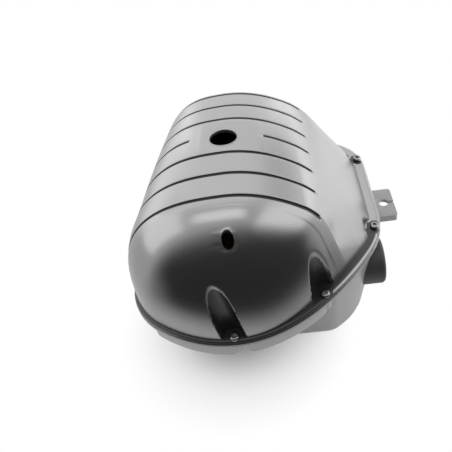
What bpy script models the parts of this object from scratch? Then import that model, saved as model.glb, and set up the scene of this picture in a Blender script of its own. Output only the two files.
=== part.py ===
# Air filter housing: domed cover, lower case, panel filter, screws, outlet boot, drain plug.
# Metres, +Z up. u runs to the right, v to the back from the front of the flange, z from the flange plane.
# The origin is the middle of the flat underside of the case floor.

import math
import bpy
import bmesh
from mathutils import Vector

MM = 0.001

# driving sizes
CASE_DEPTH = 65 * MM
ORIGIN_U = 25 * MM
ORIGIN_V = 145 * MM
FIT_GAP = 0.3 * MM

FLANGE_NOSE_RADIUS = 104.17 * MM
FLANGE_CURVE = 1 / (2 * FLANGE_NOSE_RADIUS)
FLANGE_LEFT_U = -71 * MM
FLANGE_RIGHT_U = 132 * MM
FLANGE_RIGHT_EDGE = 150 * MM
FLANGE_LEFT_EDGE = -99.5 * MM
FLANGE_BACK = 262 * MM
LEFT_TAPER = math.radians(9)
BACK_RIGHT_RADIUS = 52 * MM
BACK_LEFT_RADIUS = 38 * MM

COVER_FLANGE = 4.2 * MM
COVER_WALL = 2.5 * MM
COVER_FLANGE_WIDTH = 16 * MM
DOME_INSET = 7.5 * MM
DOME_INSET_LEFT = 3.5 * MM
DOME_INSET_FROM = 20 * MM
DOME_INSET_RUN = 90 * MM
DOME_BACK_FROM = 30 * MM
DOME_BACK_RUN = 90 * MM
ROUND_FROM = 22 * MM
ROUND_RUN = 42 * MM
CROWN_U = 8 * MM
CROWN_HEIGHT = 116 * MM
CROWN_DROP = 13 * MM
CROWN_DROP_FROM = 126 * MM
CREASE_U = 88 * MM
CREASE_DROP = 37 * MM
TAIL_LENGTH = 16.5 * MM
GROOVE_COUNT = 7
GROOVE_FIRST = 67.6 * MM
GROOVE_LAST_CLEAR = 2.4 * MM
GROOVE_PITCH = (FLANGE_BACK - DOME_INSET - TAIL_LENGTH - GROOVE_LAST_CLEAR - GROOVE_FIRST) / (GROOVE_COUNT - 1)
NOSE_LENGTH = GROOVE_FIRST - DOME_INSET_LEFT - 0.1 * MM
GROOVE_WIDTH = 2.8 * MM
GROOVE_DEPTH = 1.5 * MM
GROOVE_BREAK = 3
PAD_LEFT = -23 * MM
PAD_RIGHT = 46 * MM
TOP_HOLE = 25 * MM
TOP_HOLE_U = 10 * MM
TOP_HOLE_V = 146 * MM
FRONT_HOLE = 10 * MM
FRONT_HOLE_V = 35 * MM
POCKET_RADIUS = 11 * MM
POCKET_WIDE = 15 * MM
CREASE_TURN = 0.6
CREASE_BLEND = 0.1

SCREW_INSET = 5.6 * MM
SCREW_FRONT_U = 0 * MM
SCREW_CORNER_U = 83 * MM
SCREW_RIGHT_V = 115 * MM
SCREW_LEFT_V = 78 * MM
SCREW_BACK_U = 30 * MM
SCREW_RIGHT_FROM_BACK = 43 * MM
SCREW_LEFT_FROM_BACK = 62 * MM
SCREW_SHANK = 4.6 * MM
SCREW_HEAD = 8.5 * MM
SCREW_HEAD_HEIGHT = 3.4 * MM
SCREW_REACH = 9.5 * MM
DRIVE_ACROSS = 4 * MM
DRIVE_DEPTH = 1.8 * MM
INSERT_OUTER = 6.4 * MM
INSERT_LENGTH = 9 * MM
BOSS_DIAMETER = 10.6 * MM
BOSS_DEPTH = 12 * MM

DECK = 3 * MM
CASE_WALL = 3 * MM
TUB_INSET = 2.5 * MM
TUB_FRONT = 43 * MM
TUB_LEFT = -60 * MM
TUB_CORNER = 7 * MM
TUB_BULGE = 3 * MM
TUB_BULGE_U = FLANGE_RIGHT_U - 24 * MM
TUB_BULGE_RUN = 20 * MM
TUB_DRAFT = 6 * MM
SKIRT_DEPTH = 17 * MM
SKIRT_WALL = 2.5 * MM
SKIRT_INSET = 1.5 * MM
SKIRT_LEFT_U = -76 * MM
SKIRT_RIGHT_U = 84 * MM
SKIRT_NOTCH = 13 * MM
SKIRT_NOTCH_U = 5 * MM
SEAL_INSET = 10.7 * MM
SEAL_WIDTH = 3.6 * MM
SEAL_DEPTH = 2 * MM

TAB_FRONT = 131 * MM
TAB_BACK = 171 * MM
TAB_REACH = 18.5 * MM
TAB_THICK = 4 * MM
TAB_LIP = 4 * MM
TAB_HOLE = 9 * MM
TAB_SLIT = 3.2 * MM
LUG_U = 30 * MM
LUG_WIDTH = 30 * MM
LUG_REACH = 20 * MM
LUG_HOLE = 7 * MM

FILTER_LEFT = -46 * MM
FILTER_RIGHT = 80 * MM
FILTER_FRONT = 70 * MM
FILTER_BACK_MARGIN = 44 * MM
FILTER_BACK = FLANGE_BACK - FILTER_BACK_MARGIN
FILTER_CORNER = 10 * MM
RIM_LIP = 9 * MM
RIM_TOP = 6 * MM
RIM_WALL = 3 * MM
RIM_FIT = 0.6 * MM
PLEAT_DEPTH = 26 * MM
PLEAT_SHEET = 0.9 * MM
PLEAT_COUNT = 20
SCREEN = 1 * MM
SCREEN_BAR = 2.2 * MM
FRAME_THICK = 3 * MM
FRAME_LIP = 7 * MM
EAR_DIAMETER = 12 * MM
EAR_LEFT_FRONT = 25 * MM
EAR_LEFT_BACK = 53 * MM
EAR_RIGHT_FRONT = 35 * MM
EAR_RIGHT_BACK = 33 * MM
FRAME_SCREW_SHANK = 3.5 * MM
FRAME_SCREW_HEAD = 7 * MM
FRAME_SCREW_REACH = 8 * MM

OUTLET_V = 106 * MM
OUTLET_Z = -36 * MM
OUTLET_BORE = 40 * MM
BOOT_WALL = 4 * MM
BOOT_START = 106 * MM
BOOT_END = 148.5 * MM
BOOT_LIP = 4 * MM
BOOT_BEAD = 1.2 * MM
BOOT_BEAD_LENGTH = 4 * MM

DRAIN_U = 20 * MM
DRAIN_Z = -52 * MM
DRAIN_HOLE = 11 * MM
DRAIN_HEAD = 17 * MM
DRAIN_HEAD_THICK = 4 * MM

# colour, roughness and metallic of each material
BLACK_PLASTIC = ("cover_plastic", (0.020, 0.020, 0.021), 0.32, 0.0)
GREY_PLASTIC = ("case_plastic", (0.055, 0.055, 0.057), 0.42, 0.0)
BLACK_RUBBER = ("rubber", (0.018, 0.018, 0.018), 0.70, 0.0)
SEAL_RUBBER = ("seal_rubber", (0.030, 0.030, 0.031), 0.65, 0.0)
URETHANE = ("rim_urethane", (0.030, 0.045, 0.055), 0.60, 0.0)
PAPER = ("filter_paper", (0.620, 0.480, 0.250), 0.90, 0.0)
SCREEN_STEEL = ("screen_steel", (0.520, 0.530, 0.540), 0.40, 1.0)
FRAME_PLASTIC = ("frame_plastic", (0.035, 0.035, 0.036), 0.50, 0.0)
SCREW_STEEL = ("screw_steel", (0.440, 0.440, 0.430), 0.35, 1.0)
BRASS = ("insert_brass", (0.720, 0.520, 0.200), 0.35, 1.0)


def clear_scene():
    for ob in list(bpy.data.objects):
        bpy.data.objects.remove(ob, do_unlink=True)
    for me in list(bpy.data.meshes):
        bpy.data.meshes.remove(me)


def place(u, v, z):
    return Vector((u - ORIGIN_U, v - ORIGIN_V, z + CASE_DEPTH))


def material(spec):
    name, colour, rough, metal = spec
    mat = bpy.data.materials.get(name)
    if mat is None:
        mat = bpy.data.materials.new(name)
        mat.use_nodes = True
        shader = mat.node_tree.nodes["Principled BSDF"]
        shader.inputs["Base Color"].default_value = (*colour, 1.0)
        shader.inputs["Roughness"].default_value = rough
        shader.inputs["Metallic"].default_value = metal
    return mat


def mesh_object(name, bm):
    bmesh.ops.recalc_face_normals(bm, faces=bm.faces[:])
    me = bpy.data.meshes.new(name)
    bm.to_mesh(me)
    bm.free()
    ob = bpy.data.objects.new(name, me)
    bpy.context.scene.collection.objects.link(ob)
    return ob


def combine(ob, other, how):
    mod = ob.modifiers.new(how, "BOOLEAN")
    mod.operation = how
    mod.solver = "EXACT"
    mod.object = other
    graph = bpy.context.evaluated_depsgraph_get()
    me = bpy.data.meshes.new_from_object(ob.evaluated_get(graph))
    ob.modifiers.clear()
    old = ob.data
    ob.data = me
    bpy.data.meshes.remove(old)
    spare = other.data
    bpy.data.objects.remove(other, do_unlink=True)
    bpy.data.meshes.remove(spare)
    return ob


def join(ob, other):
    return combine(ob, other, "UNION")


def cut(ob, other):
    return combine(ob, other, "DIFFERENCE")


def finish(ob, name, spec, origin=None):
    bm = bmesh.new()
    bm.from_mesh(ob.data)
    bmesh.ops.remove_doubles(bm, verts=bm.verts[:], dist=0.000005)
    bmesh.ops.dissolve_degenerate(bm, edges=bm.edges[:], dist=0.000005)
    bmesh.ops.triangulate(bm, faces=bm.faces[:])
    if origin is not None:
        bmesh.ops.translate(bm, verts=bm.verts[:], vec=-origin)
        ob.location = origin
    bm.to_mesh(ob.data)
    bm.free()
    ob.name = name
    ob.data.name = name
    ob.data.materials.clear()
    ob.data.materials.append(material(spec))
    return ob


def prism(name, points, z0, z1, above=None):
    # above is the outline at z1 where it isn't the same as at z0
    bm = bmesh.new()
    low = [bm.verts.new(place(u, v, z0)) for u, v in points]
    top = [bm.verts.new(place(u, v, z1)) for u, v in above or points]
    bm.faces.new(list(reversed(low)))
    bm.faces.new(top)
    for i in range(len(points)):
        j = (i + 1) % len(points)
        if above:
            bm.faces.new((low[i], low[j], top[j]))
            bm.faces.new((low[i], top[j], top[i]))
        else:
            bm.faces.new((low[i], low[j], top[j], top[i]))
    return mesh_object(name, bm)


def ring_prism(name, outer, inner, z0, z1):
    bm = bmesh.new()
    rows = []
    for points, z in ((outer, z0), (outer, z1), (inner, z1), (inner, z0)):
        rows.append([bm.verts.new(place(u, v, z)) for u, v in points])
    for k in range(4):
        a = rows[k]
        b = rows[(k + 1) % 4]
        for i in range(len(a)):
            j = (i + 1) % len(a)
            bm.faces.new((a[i], a[j], b[j], b[i]))
    return mesh_object(name, bm)


def round_bar(name, start, axis, steps, sides):
    # steps is a list of (distance along the axis, radius)
    bm = bmesh.new()
    turn = Vector((0, 0, 1)).rotation_difference(axis.normalized()).to_matrix()
    rows = []
    for along, radius in steps:
        row = []
        for k in range(sides):
            a = 2 * math.pi * k / sides
            row.append(bm.verts.new(start + turn @ Vector((radius * math.cos(a), radius * math.sin(a), along))))
        rows.append(row)
    for a, b in zip(rows, rows[1:]):
        for i in range(sides):
            j = (i + 1) % sides
            bm.faces.new((a[i], a[j], b[j], b[i]))
    bm.faces.new(list(reversed(rows[0])))
    bm.faces.new(rows[-1])
    return mesh_object(name, bm)


def tube(name, start, axis, profile, sides):
    # profile is a closed list of (distance along the axis, radius)
    bm = bmesh.new()
    turn = Vector((0, 0, 1)).rotation_difference(axis.normalized()).to_matrix()
    rows = []
    for along, radius in profile:
        row = []
        for k in range(sides):
            a = 2 * math.pi * k / sides
            row.append(bm.verts.new(start + turn @ Vector((radius * math.cos(a), radius * math.sin(a), along))))
        rows.append(row)
    for k in range(len(rows)):
        a = rows[k]
        b = rows[(k + 1) % len(rows)]
        for i in range(sides):
            j = (i + 1) % sides
            bm.faces.new((a[i], a[j], b[j], b[i]))
    return mesh_object(name, bm)


def flange_outline(fine=1):
    # front curve, right corner, right edge, back, left edge, left corner
    points = []
    steps = 26 * fine
    for k in range(steps + 1):
        u = FLANGE_LEFT_U + (FLANGE_RIGHT_U - FLANGE_LEFT_U) * k / steps
        points.append((u, FLANGE_CURVE * u * u))
    slope = math.atan(2 * FLANGE_CURVE * FLANGE_RIGHT_U)
    radius = (FLANGE_RIGHT_EDGE - FLANGE_RIGHT_U) / (1 - math.sin(slope))
    v0 = FLANGE_CURVE * FLANGE_RIGHT_U ** 2
    steps = 6 * fine
    for k in range(1, steps + 1):
        a = slope + (math.pi / 2 - slope) * k / steps
        points.append((FLANGE_RIGHT_U + radius * (math.sin(a) - math.sin(slope)),
                       v0 + radius * (math.cos(slope) - math.cos(a))))
    start = points[-1][1]
    end = FLANGE_BACK - BACK_RIGHT_RADIUS
    for k in range(1, 4 * fine):
        points.append((FLANGE_RIGHT_EDGE, start + (end - start) * k / (4 * fine)))
    steps = 9 * fine
    for k in range(steps + 1):
        a = math.pi / 2 * k / steps
        points.append((FLANGE_RIGHT_EDGE - BACK_RIGHT_RADIUS * (1 - math.cos(a)),
                       end + BACK_RIGHT_RADIUS * math.sin(a)))
    slope = math.atan(-2 * FLANGE_CURVE * FLANGE_LEFT_U)
    radius = (FLANGE_LEFT_U - FLANGE_LEFT_EDGE) / (1 - math.sin(slope))
    v0 = FLANGE_CURVE * FLANGE_LEFT_U ** 2
    side_v = v0 + radius * math.cos(slope)
    # centre of the corner between the back edge and the tapered left edge
    cv = FLANGE_BACK - BACK_LEFT_RADIUS
    run = (cv - side_v) * math.tan(LEFT_TAPER)
    cu = FLANGE_LEFT_EDGE + run + BACK_LEFT_RADIUS / math.cos(LEFT_TAPER)
    last = points[-1][0]
    for k in range(1, 5 * fine):
        points.append((last + (cu - last) * k / (5 * fine), FLANGE_BACK))
    steps = 8 * fine
    for k in range(steps + 1):
        a = math.pi / 2 + (math.pi / 2 - LEFT_TAPER) * k / steps
        points.append((cu + BACK_LEFT_RADIUS * math.cos(a), cv + BACK_LEFT_RADIUS * math.sin(a)))
    # tapered left edge down to the left corner arc
    arc = []
    steps = 8 * fine
    for k in range(steps):
        a = slope + (math.pi / 2 + LEFT_TAPER - slope) * k / steps
        arc.append((FLANGE_LEFT_U - radius * (math.sin(a) - math.sin(slope)),
                    v0 + radius * (math.cos(slope) - math.cos(a))))
    a = math.pi / 2 + LEFT_TAPER
    foot = (FLANGE_LEFT_U - radius * (math.sin(a) - math.sin(slope)),
            v0 + radius * (math.cos(slope) - math.cos(a)))
    head = points[-1]
    for k in range(1, 4 * fine + 1):
        t = k / (4 * fine)
        points.append((head[0] + (foot[0] - head[0]) * t, head[1] + (foot[1] - head[1]) * t))
    points.extend(reversed(arc[1:]))
    return points


def dome_inset(u, v):
    # the dome stands close to the flange edge on the left of the front
    left = 1 - smooth((u - DOME_INSET_FROM) / DOME_INSET_RUN)
    front = 1 - smooth((v - DOME_BACK_FROM) / DOME_BACK_RUN)
    return DOME_INSET - (DOME_INSET - DOME_INSET_LEFT) * left * front


def inset(points, d):
    # d is one distance, or a function of the place that gives it
    out = []
    n = len(points)
    for i in range(n):
        a = Vector(points[i - 1])
        b = Vector(points[i])
        c = Vector(points[(i + 1) % n])
        e = (b - a).normalized()
        g = (c - b).normalized()
        n1 = Vector((-e.y, e.x))
        n2 = Vector((-g.y, g.x))
        m = (n1 + n2).normalized()
        far = d(b.x, b.y) if callable(d) else d
        out.append(tuple(b + m * (far / max(0.5, m.dot(n1)))))
    return out


def crossings(points, v):
    # smallest and largest u where the outline crosses v
    us = []
    n = len(points)
    for i in range(n):
        a = points[i]
        b = points[(i + 1) % n]
        if (a[1] - v) * (b[1] - v) <= 0 and a[1] != b[1]:
            t = (v - a[1]) / (b[1] - a[1])
            us.append(a[0] + t * (b[0] - a[0]))
    return min(us), max(us)


def station(points, side, at):
    # a point of an outline: side is front, back, left or right, at is u or v
    best = None
    n = len(points)
    for i in range(n):
        a = points[i]
        b = points[(i + 1) % n]
        k = 0 if side in ("front", "back") else 1
        if (a[k] - at) * (b[k] - at) <= 0 and a[k] != b[k]:
            t = (at - a[k]) / (b[k] - a[k])
            p = (a[0] + t * (b[0] - a[0]), a[1] + t * (b[1] - a[1]))
            key = {"front": -p[1], "back": p[1], "left": -p[0], "right": p[0]}[side]
            if best is None or key > best[0]:
                best = (key, p)
    return best[1]


def smooth(x):
    x = max(0.0, min(1.0, x))
    return x * x * (3 - 2 * x)


def ridge(v):
    drop = max(0.0, (v - CROWN_DROP_FROM) / (GROOVE_FIRST + 6 * GROOVE_PITCH - CROWN_DROP_FROM))
    return CROWN_HEIGHT - CROWN_DROP * min(drop, 1.3) ** 1.6


def section_point(v, t, left, right, high):
    # t from -1 at the left foot over 0 at the crown to 1 at the right foot
    crown = CROWN_U * smooth(v / GROOVE_FIRST)
    a = abs(t) * math.pi / 2
    if t < 0:
        n = 2.7
        return crown - (crown - left) * math.sin(a) ** (2 / n), high * max(0.0, math.cos(a)) ** (2 / n)
    n = 2.3
    round_u = crown + (right - crown) * math.sin(a) ** (2 / n)
    round_z = high * max(0.0, math.cos(a)) ** (2 / n)
    flat_u, flat_z = creased(t, crown, right, high)
    mix = smooth((v - ROUND_FROM) / ROUND_RUN)
    return round_u + (flat_u - round_u) * mix, round_z + (flat_z - round_z) * mix


def creased(t, crown, right, high):
    # arch, crease and straight flank of the right side
    reach = min(CREASE_U, crown + 0.79 * (right - crown))
    drop = CREASE_DROP * high / CROWN_HEIGHT

    def straight(x):
        if x <= CREASE_TURN:
            k = x / CREASE_TURN
            return crown + (reach - crown) * k, high - drop * k ** 2
        k = (x - CREASE_TURN) / (1 - CREASE_TURN)
        return reach + (right - reach) * k, (high - drop) * (1 - k)

    if abs(t - CREASE_TURN) >= CREASE_BLEND:
        return straight(t)
    a = straight(CREASE_TURN - CREASE_BLEND)
    b = straight(CREASE_TURN)
    c = straight(CREASE_TURN + CREASE_BLEND)
    k = (t - CREASE_TURN + CREASE_BLEND) / (2 * CREASE_BLEND)
    return tuple(a[i] * (1 - k) ** 2 + b[i] * 2 * k * (1 - k) + c[i] * k ** 2 for i in range(2))


def groove_mask(k, u, t):
    if t > CREASE_TURN or t < -0.72:
        return 0.0
    if k == GROOVE_BREAK and PAD_LEFT < u < PAD_RIGHT:
        return 0.0
    return 1.0


def dome_rows(grooves):
    # each row is (v, crown height, groove number, share of the groove depth)
    front = DOME_INSET_LEFT
    back = FLANGE_BACK - DOME_INSET
    rows = []
    steps = 11
    for k in range(1, steps + 1):
        a = math.pi / 2 * k / steps
        rows.append((front + NOSE_LENGTH * (1 - math.cos(a)), CROWN_HEIGHT * math.sin(a), 0, 0.0))
    start = rows[-1][0]
    end = back - TAIL_LENGTH
    half = GROOVE_WIDTH / 2
    if grooves:
        for k in range(GROOVE_COUNT):
            v = GROOVE_FIRST + GROOVE_PITCH * k
            for dv, deep in ((-half, 0.0), (-0.45 * half, 1.0), (0.45 * half, 1.0), (half, 0.0)):
                if v + dv > start + 0.2 * MM:
                    rows.append((v + dv, ridge(v + dv), k, deep))
            if k < GROOVE_COUNT - 1:
                for part in (1, 2):
                    rows.append((v + part * GROOVE_PITCH / 3, ridge(v + part * GROOVE_PITCH / 3), k, 0.0))
    else:
        for k in range(1, 9):
            v = start + (end - start) * k / 9
            rows.append((v, ridge(v), 0, 0.0))
    steps = 7
    for k in range(0, steps):
        a = math.pi / 2 * (1 - k / steps)
        rows.append((back - TAIL_LENGTH * (1 - math.cos(a)), ridge(end) * math.sin(a), 0, 0.0))
    return rows


def dome_grid(foot, rows, left_n, right_n):
    grid = []
    for v, high, k, deep in rows:
        left, right = crossings(foot, v)
        row = []
        for i in range(-left_n, right_n + 1):
            t = i / left_n if i < 0 else i / right_n
            u, z = section_point(v, t, left, right, high)
            z = z - GROOVE_DEPTH * deep * groove_mask(k, u, t)
            row.append(Vector((u, v, max(z, 0.0) + FIT_GAP)))
        grid.append(row)
    return grid


def grid_offset(grid, d):
    # the grid moved inwards along its own normals
    out = []
    tall = len(grid)
    wide = len(grid[0])
    for j in range(tall):
        row = []
        for i in range(wide):
            along = grid[min(j + 1, tall - 1)][i] - grid[max(j - 1, 0)][i]
            across = grid[j][min(i + 1, wide - 1)] - grid[j][max(i - 1, 0)]
            row.append(grid[j][i] - across.cross(along).normalized() * d)
        out.append(row)
    return out


def dome(name, grid, floor_z):
    bm = bmesh.new()
    skin = [[bm.verts.new(place(*p)) for p in row] for row in grid]
    low = []
    for row in grid:
        low.append((bm.verts.new(place(row[0].x, row[0].y, floor_z)),
                    bm.verts.new(place(row[-1].x, row[-1].y, floor_z))))
    wide = len(grid[0]) - 1
    for j in range(len(skin) - 1):
        for i in range(wide):
            bm.faces.new((skin[j][i], skin[j][i + 1], skin[j + 1][i + 1], skin[j + 1][i]))
        bm.faces.new((low[j][0], skin[j][0], skin[j + 1][0], low[j + 1][0]))
        bm.faces.new((skin[j][wide], low[j][1], low[j + 1][1], skin[j + 1][wide]))
        bm.faces.new((low[j][1], low[j][0], low[j + 1][0], low[j + 1][1]))
    for j in (0, len(skin) - 1):
        bm.faces.new(skin[j] + [low[j][1], low[j][0]])
    return mesh_object(name, bm)


def screw_places():
    line = inset(flange_outline(2), SCREW_INSET)
    return [station(line, "front", SCREW_FRONT_U), station(line, "front", SCREW_CORNER_U),
            station(line, "right", SCREW_RIGHT_V), station(line, "right", FLANGE_BACK - SCREW_RIGHT_FROM_BACK),
            station(line, "back", SCREW_BACK_U), station(line, "left", FLANGE_BACK - SCREW_LEFT_FROM_BACK),
            station(line, "left", SCREW_LEFT_V)]


def ear_places():
    out = RIM_LIP + EAR_DIAMETER / 2
    return [(FILTER_LEFT - out, FILTER_FRONT + EAR_LEFT_FRONT), (FILTER_LEFT - out, FILTER_BACK - EAR_LEFT_BACK),
            (FILTER_RIGHT + out, FILTER_FRONT + EAR_RIGHT_FRONT), (FILTER_RIGHT + out, FILTER_BACK - EAR_RIGHT_BACK)]


def rounded_box(grow):
    # outline of the filter window, grown on all sides
    r = max(FILTER_CORNER + grow, 2 * MM)
    points = []
    corners = ((FILTER_RIGHT + grow - r, FILTER_FRONT - grow + r, -90),
               (FILTER_RIGHT + grow - r, FILTER_BACK + grow - r, 0),
               (FILTER_LEFT - grow + r, FILTER_BACK + grow - r, 90),
               (FILTER_LEFT - grow + r, FILTER_FRONT - grow + r, 180))
    for cu, cv, turn in corners:
        for k in range(6):
            a = math.radians(turn + 90 * k / 5)
            points.append((cu + r * math.cos(a), cv + r * math.sin(a)))
    return points


def pocket_axes():
    # place, axis and radius: the channels of the first two screws lean along the dome
    leans = [(-0.15, -0.005), (0.02, -0.08)] + [(0.0, 0.0)] * 5
    wide = [POCKET_RADIUS, POCKET_WIDE] + [POCKET_RADIUS] * 5
    return [(u, v, Vector((du, dv, 1.0)), r) for (u, v), (du, dv), r in zip(screw_places(), leans, wide)]


def upper_cover():
    line = flange_outline()
    foot = inset(flange_outline(4), dome_inset)
    bottom = FIT_GAP
    top = bottom + COVER_FLANGE
    body = dome("upper_cover", dome_grid(foot, dome_rows(True), 10, 12), bottom + 1 * MM - COVER_FLANGE * 0.3)
    inner = grid_offset(dome_grid(foot, dome_rows(False), 8, 10), COVER_WALL)
    room = dome("room", inner, -5 * MM)
    for u, v, axis, r in pocket_axes():
        wall = round_bar("wall", place(u, v, top) - axis * 10 * MM, axis,
                         [(0, r + COVER_WALL), (CROWN_HEIGHT, r + COVER_WALL)], 18)
        room = cut(room, wall)
    body = cut(body, room)
    flange = ring_prism("flange", line, inset(line, COVER_FLANGE_WIDTH), bottom, top)
    body = join(body, flange)
    body = cut(body, prism("below", inset(line, -10 * MM), -20 * MM, bottom))
    up = Vector((0, 0, 1))
    for u, v, axis, r in pocket_axes():
        pocket = round_bar("pocket", place(u, v, top) - axis * 10 * MM, axis, [(0, r), (CROWN_HEIGHT, r)], 24)
        pocket = cut(pocket, prism("below", inset(line, -10 * MM), -40 * MM, top))
        body = cut(body, pocket)
        hole = round_bar("hole", place(u, v, -2 * MM), up,
                         [(0, SCREW_SHANK / 2 + FIT_GAP), (20 * MM, SCREW_SHANK / 2 + FIT_GAP)], 16)
        body = cut(body, hole)
    hole = round_bar("hole", place(TOP_HOLE_U, TOP_HOLE_V, 90 * MM), up,
                     [(0, TOP_HOLE / 2), (50 * MM, TOP_HOLE / 2)], 28)
    body = cut(body, hole)
    # upright too, so it is oval on the sloping dome
    hole = round_bar("hole", place(TOP_HOLE_U, FRONT_HOLE_V, CROWN_HEIGHT / 2), up,
                     [(0, FRONT_HOLE / 2), (CROWN_HEIGHT, FRONT_HOLE / 2)], 20)
    body = cut(body, hole)
    return finish(body, "upper_cover", BLACK_PLASTIC)


def clip(points, k, limit):
    # the part of an outline where the coordinate k is above the limit
    kept = []
    n = len(points)
    for i in range(n):
        a = points[i]
        b = points[(i + 1) % n]
        if a[k] > limit:
            kept.append(a)
        if (a[k] - limit) * (b[k] - limit) < 0:
            t = (limit - a[k]) / (b[k] - a[k])
            spot = [a[0] + t * (b[0] - a[0]), a[1] + t * (b[1] - a[1])]
            spot[k] = limit
            kept.append(tuple(spot))
    return kept


def tub_push(u, v):
    # how far the floor's edge stands out from the top edge: out at the front right corner, in on the right wall
    near = (u - TUB_BULGE_U) / TUB_BULGE_RUN
    out = TUB_BULGE * (0.5 + 0.5 * math.cos(math.pi * near)) if abs(near) < 1 and v < FLANGE_BACK / 2 else 0.0
    drawn = smooth((u - TUB_BULGE_U) / TUB_BULGE_RUN - 0.5) * (1 - smooth((v / FLANGE_BACK - 0.65) * 4.4))
    return out - TUB_DRAFT * drawn


def tub_outline(d, low=False):
    # plan of the deep body, d is the inset from the flange outline, low is its edge at the floor
    front = TUB_FRONT + d - TUB_INSET
    left = TUB_LEFT + d - TUB_INSET
    kept = clip(clip(inset(flange_outline(2), d), 1, front), 0, left)
    # round the corners with a short arc
    soft = []
    for i in range(len(kept)):
        p = kept[i]
        if abs(p[1] - front) < 1e-9 or abs(p[0] - left) < 1e-9:
            a = Vector(kept[i - 1])
            b = Vector(p)
            c = Vector(kept[(i + 1) % len(kept)])
            k1 = b + (a - b).normalized() * min(TUB_CORNER, (a - b).length * 0.45)
            k2 = b + (c - b).normalized() * min(TUB_CORNER, (c - b).length * 0.45)
            for s in range(5):
                t = s / 4
                q = k1 * (1 - t) ** 2 + b * 2 * t * (1 - t) + k2 * t ** 2
                soft.append((q.x, q.y))
        else:
            soft.append(p)
    if not low:
        return soft
    floor = []
    for u, v in soft:
        push = tub_push(u, v)
        turn = math.pi / 2 * smooth(v / FLANGE_RIGHT_EDGE)
        floor.append((u + push * math.sin(turn), v - push * math.cos(turn)))
    return floor


def skirt_piece(u0, u1):
    steps = 20
    line = flange_outline(8)
    outer = []
    inner = []
    ring_o = inset(line, SKIRT_INSET)
    ring_i = inset(line, SKIRT_INSET + SKIRT_WALL)
    for k in range(steps + 1):
        u = u0 + (u1 - u0) * k / steps
        outer.append(station(ring_o, "front", u))
        inner.append(station(ring_i, "front", u))
    return prism("skirt", outer + inner[::-1], -SKIRT_DEPTH, -DECK / 2)


def tab_outline():
    mid = (TAB_FRONT + TAB_BACK) / 2
    out = FLANGE_RIGHT_EDGE + TAB_REACH
    r = 3 * MM
    return [(FLANGE_RIGHT_EDGE - 6 * MM, TAB_FRONT), (out - r, TAB_FRONT), (out, TAB_FRONT + r),
            (out, TAB_BACK - r), (out - r, TAB_BACK), (FLANGE_RIGHT_EDGE - 6 * MM, TAB_BACK)], mid, out


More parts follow.
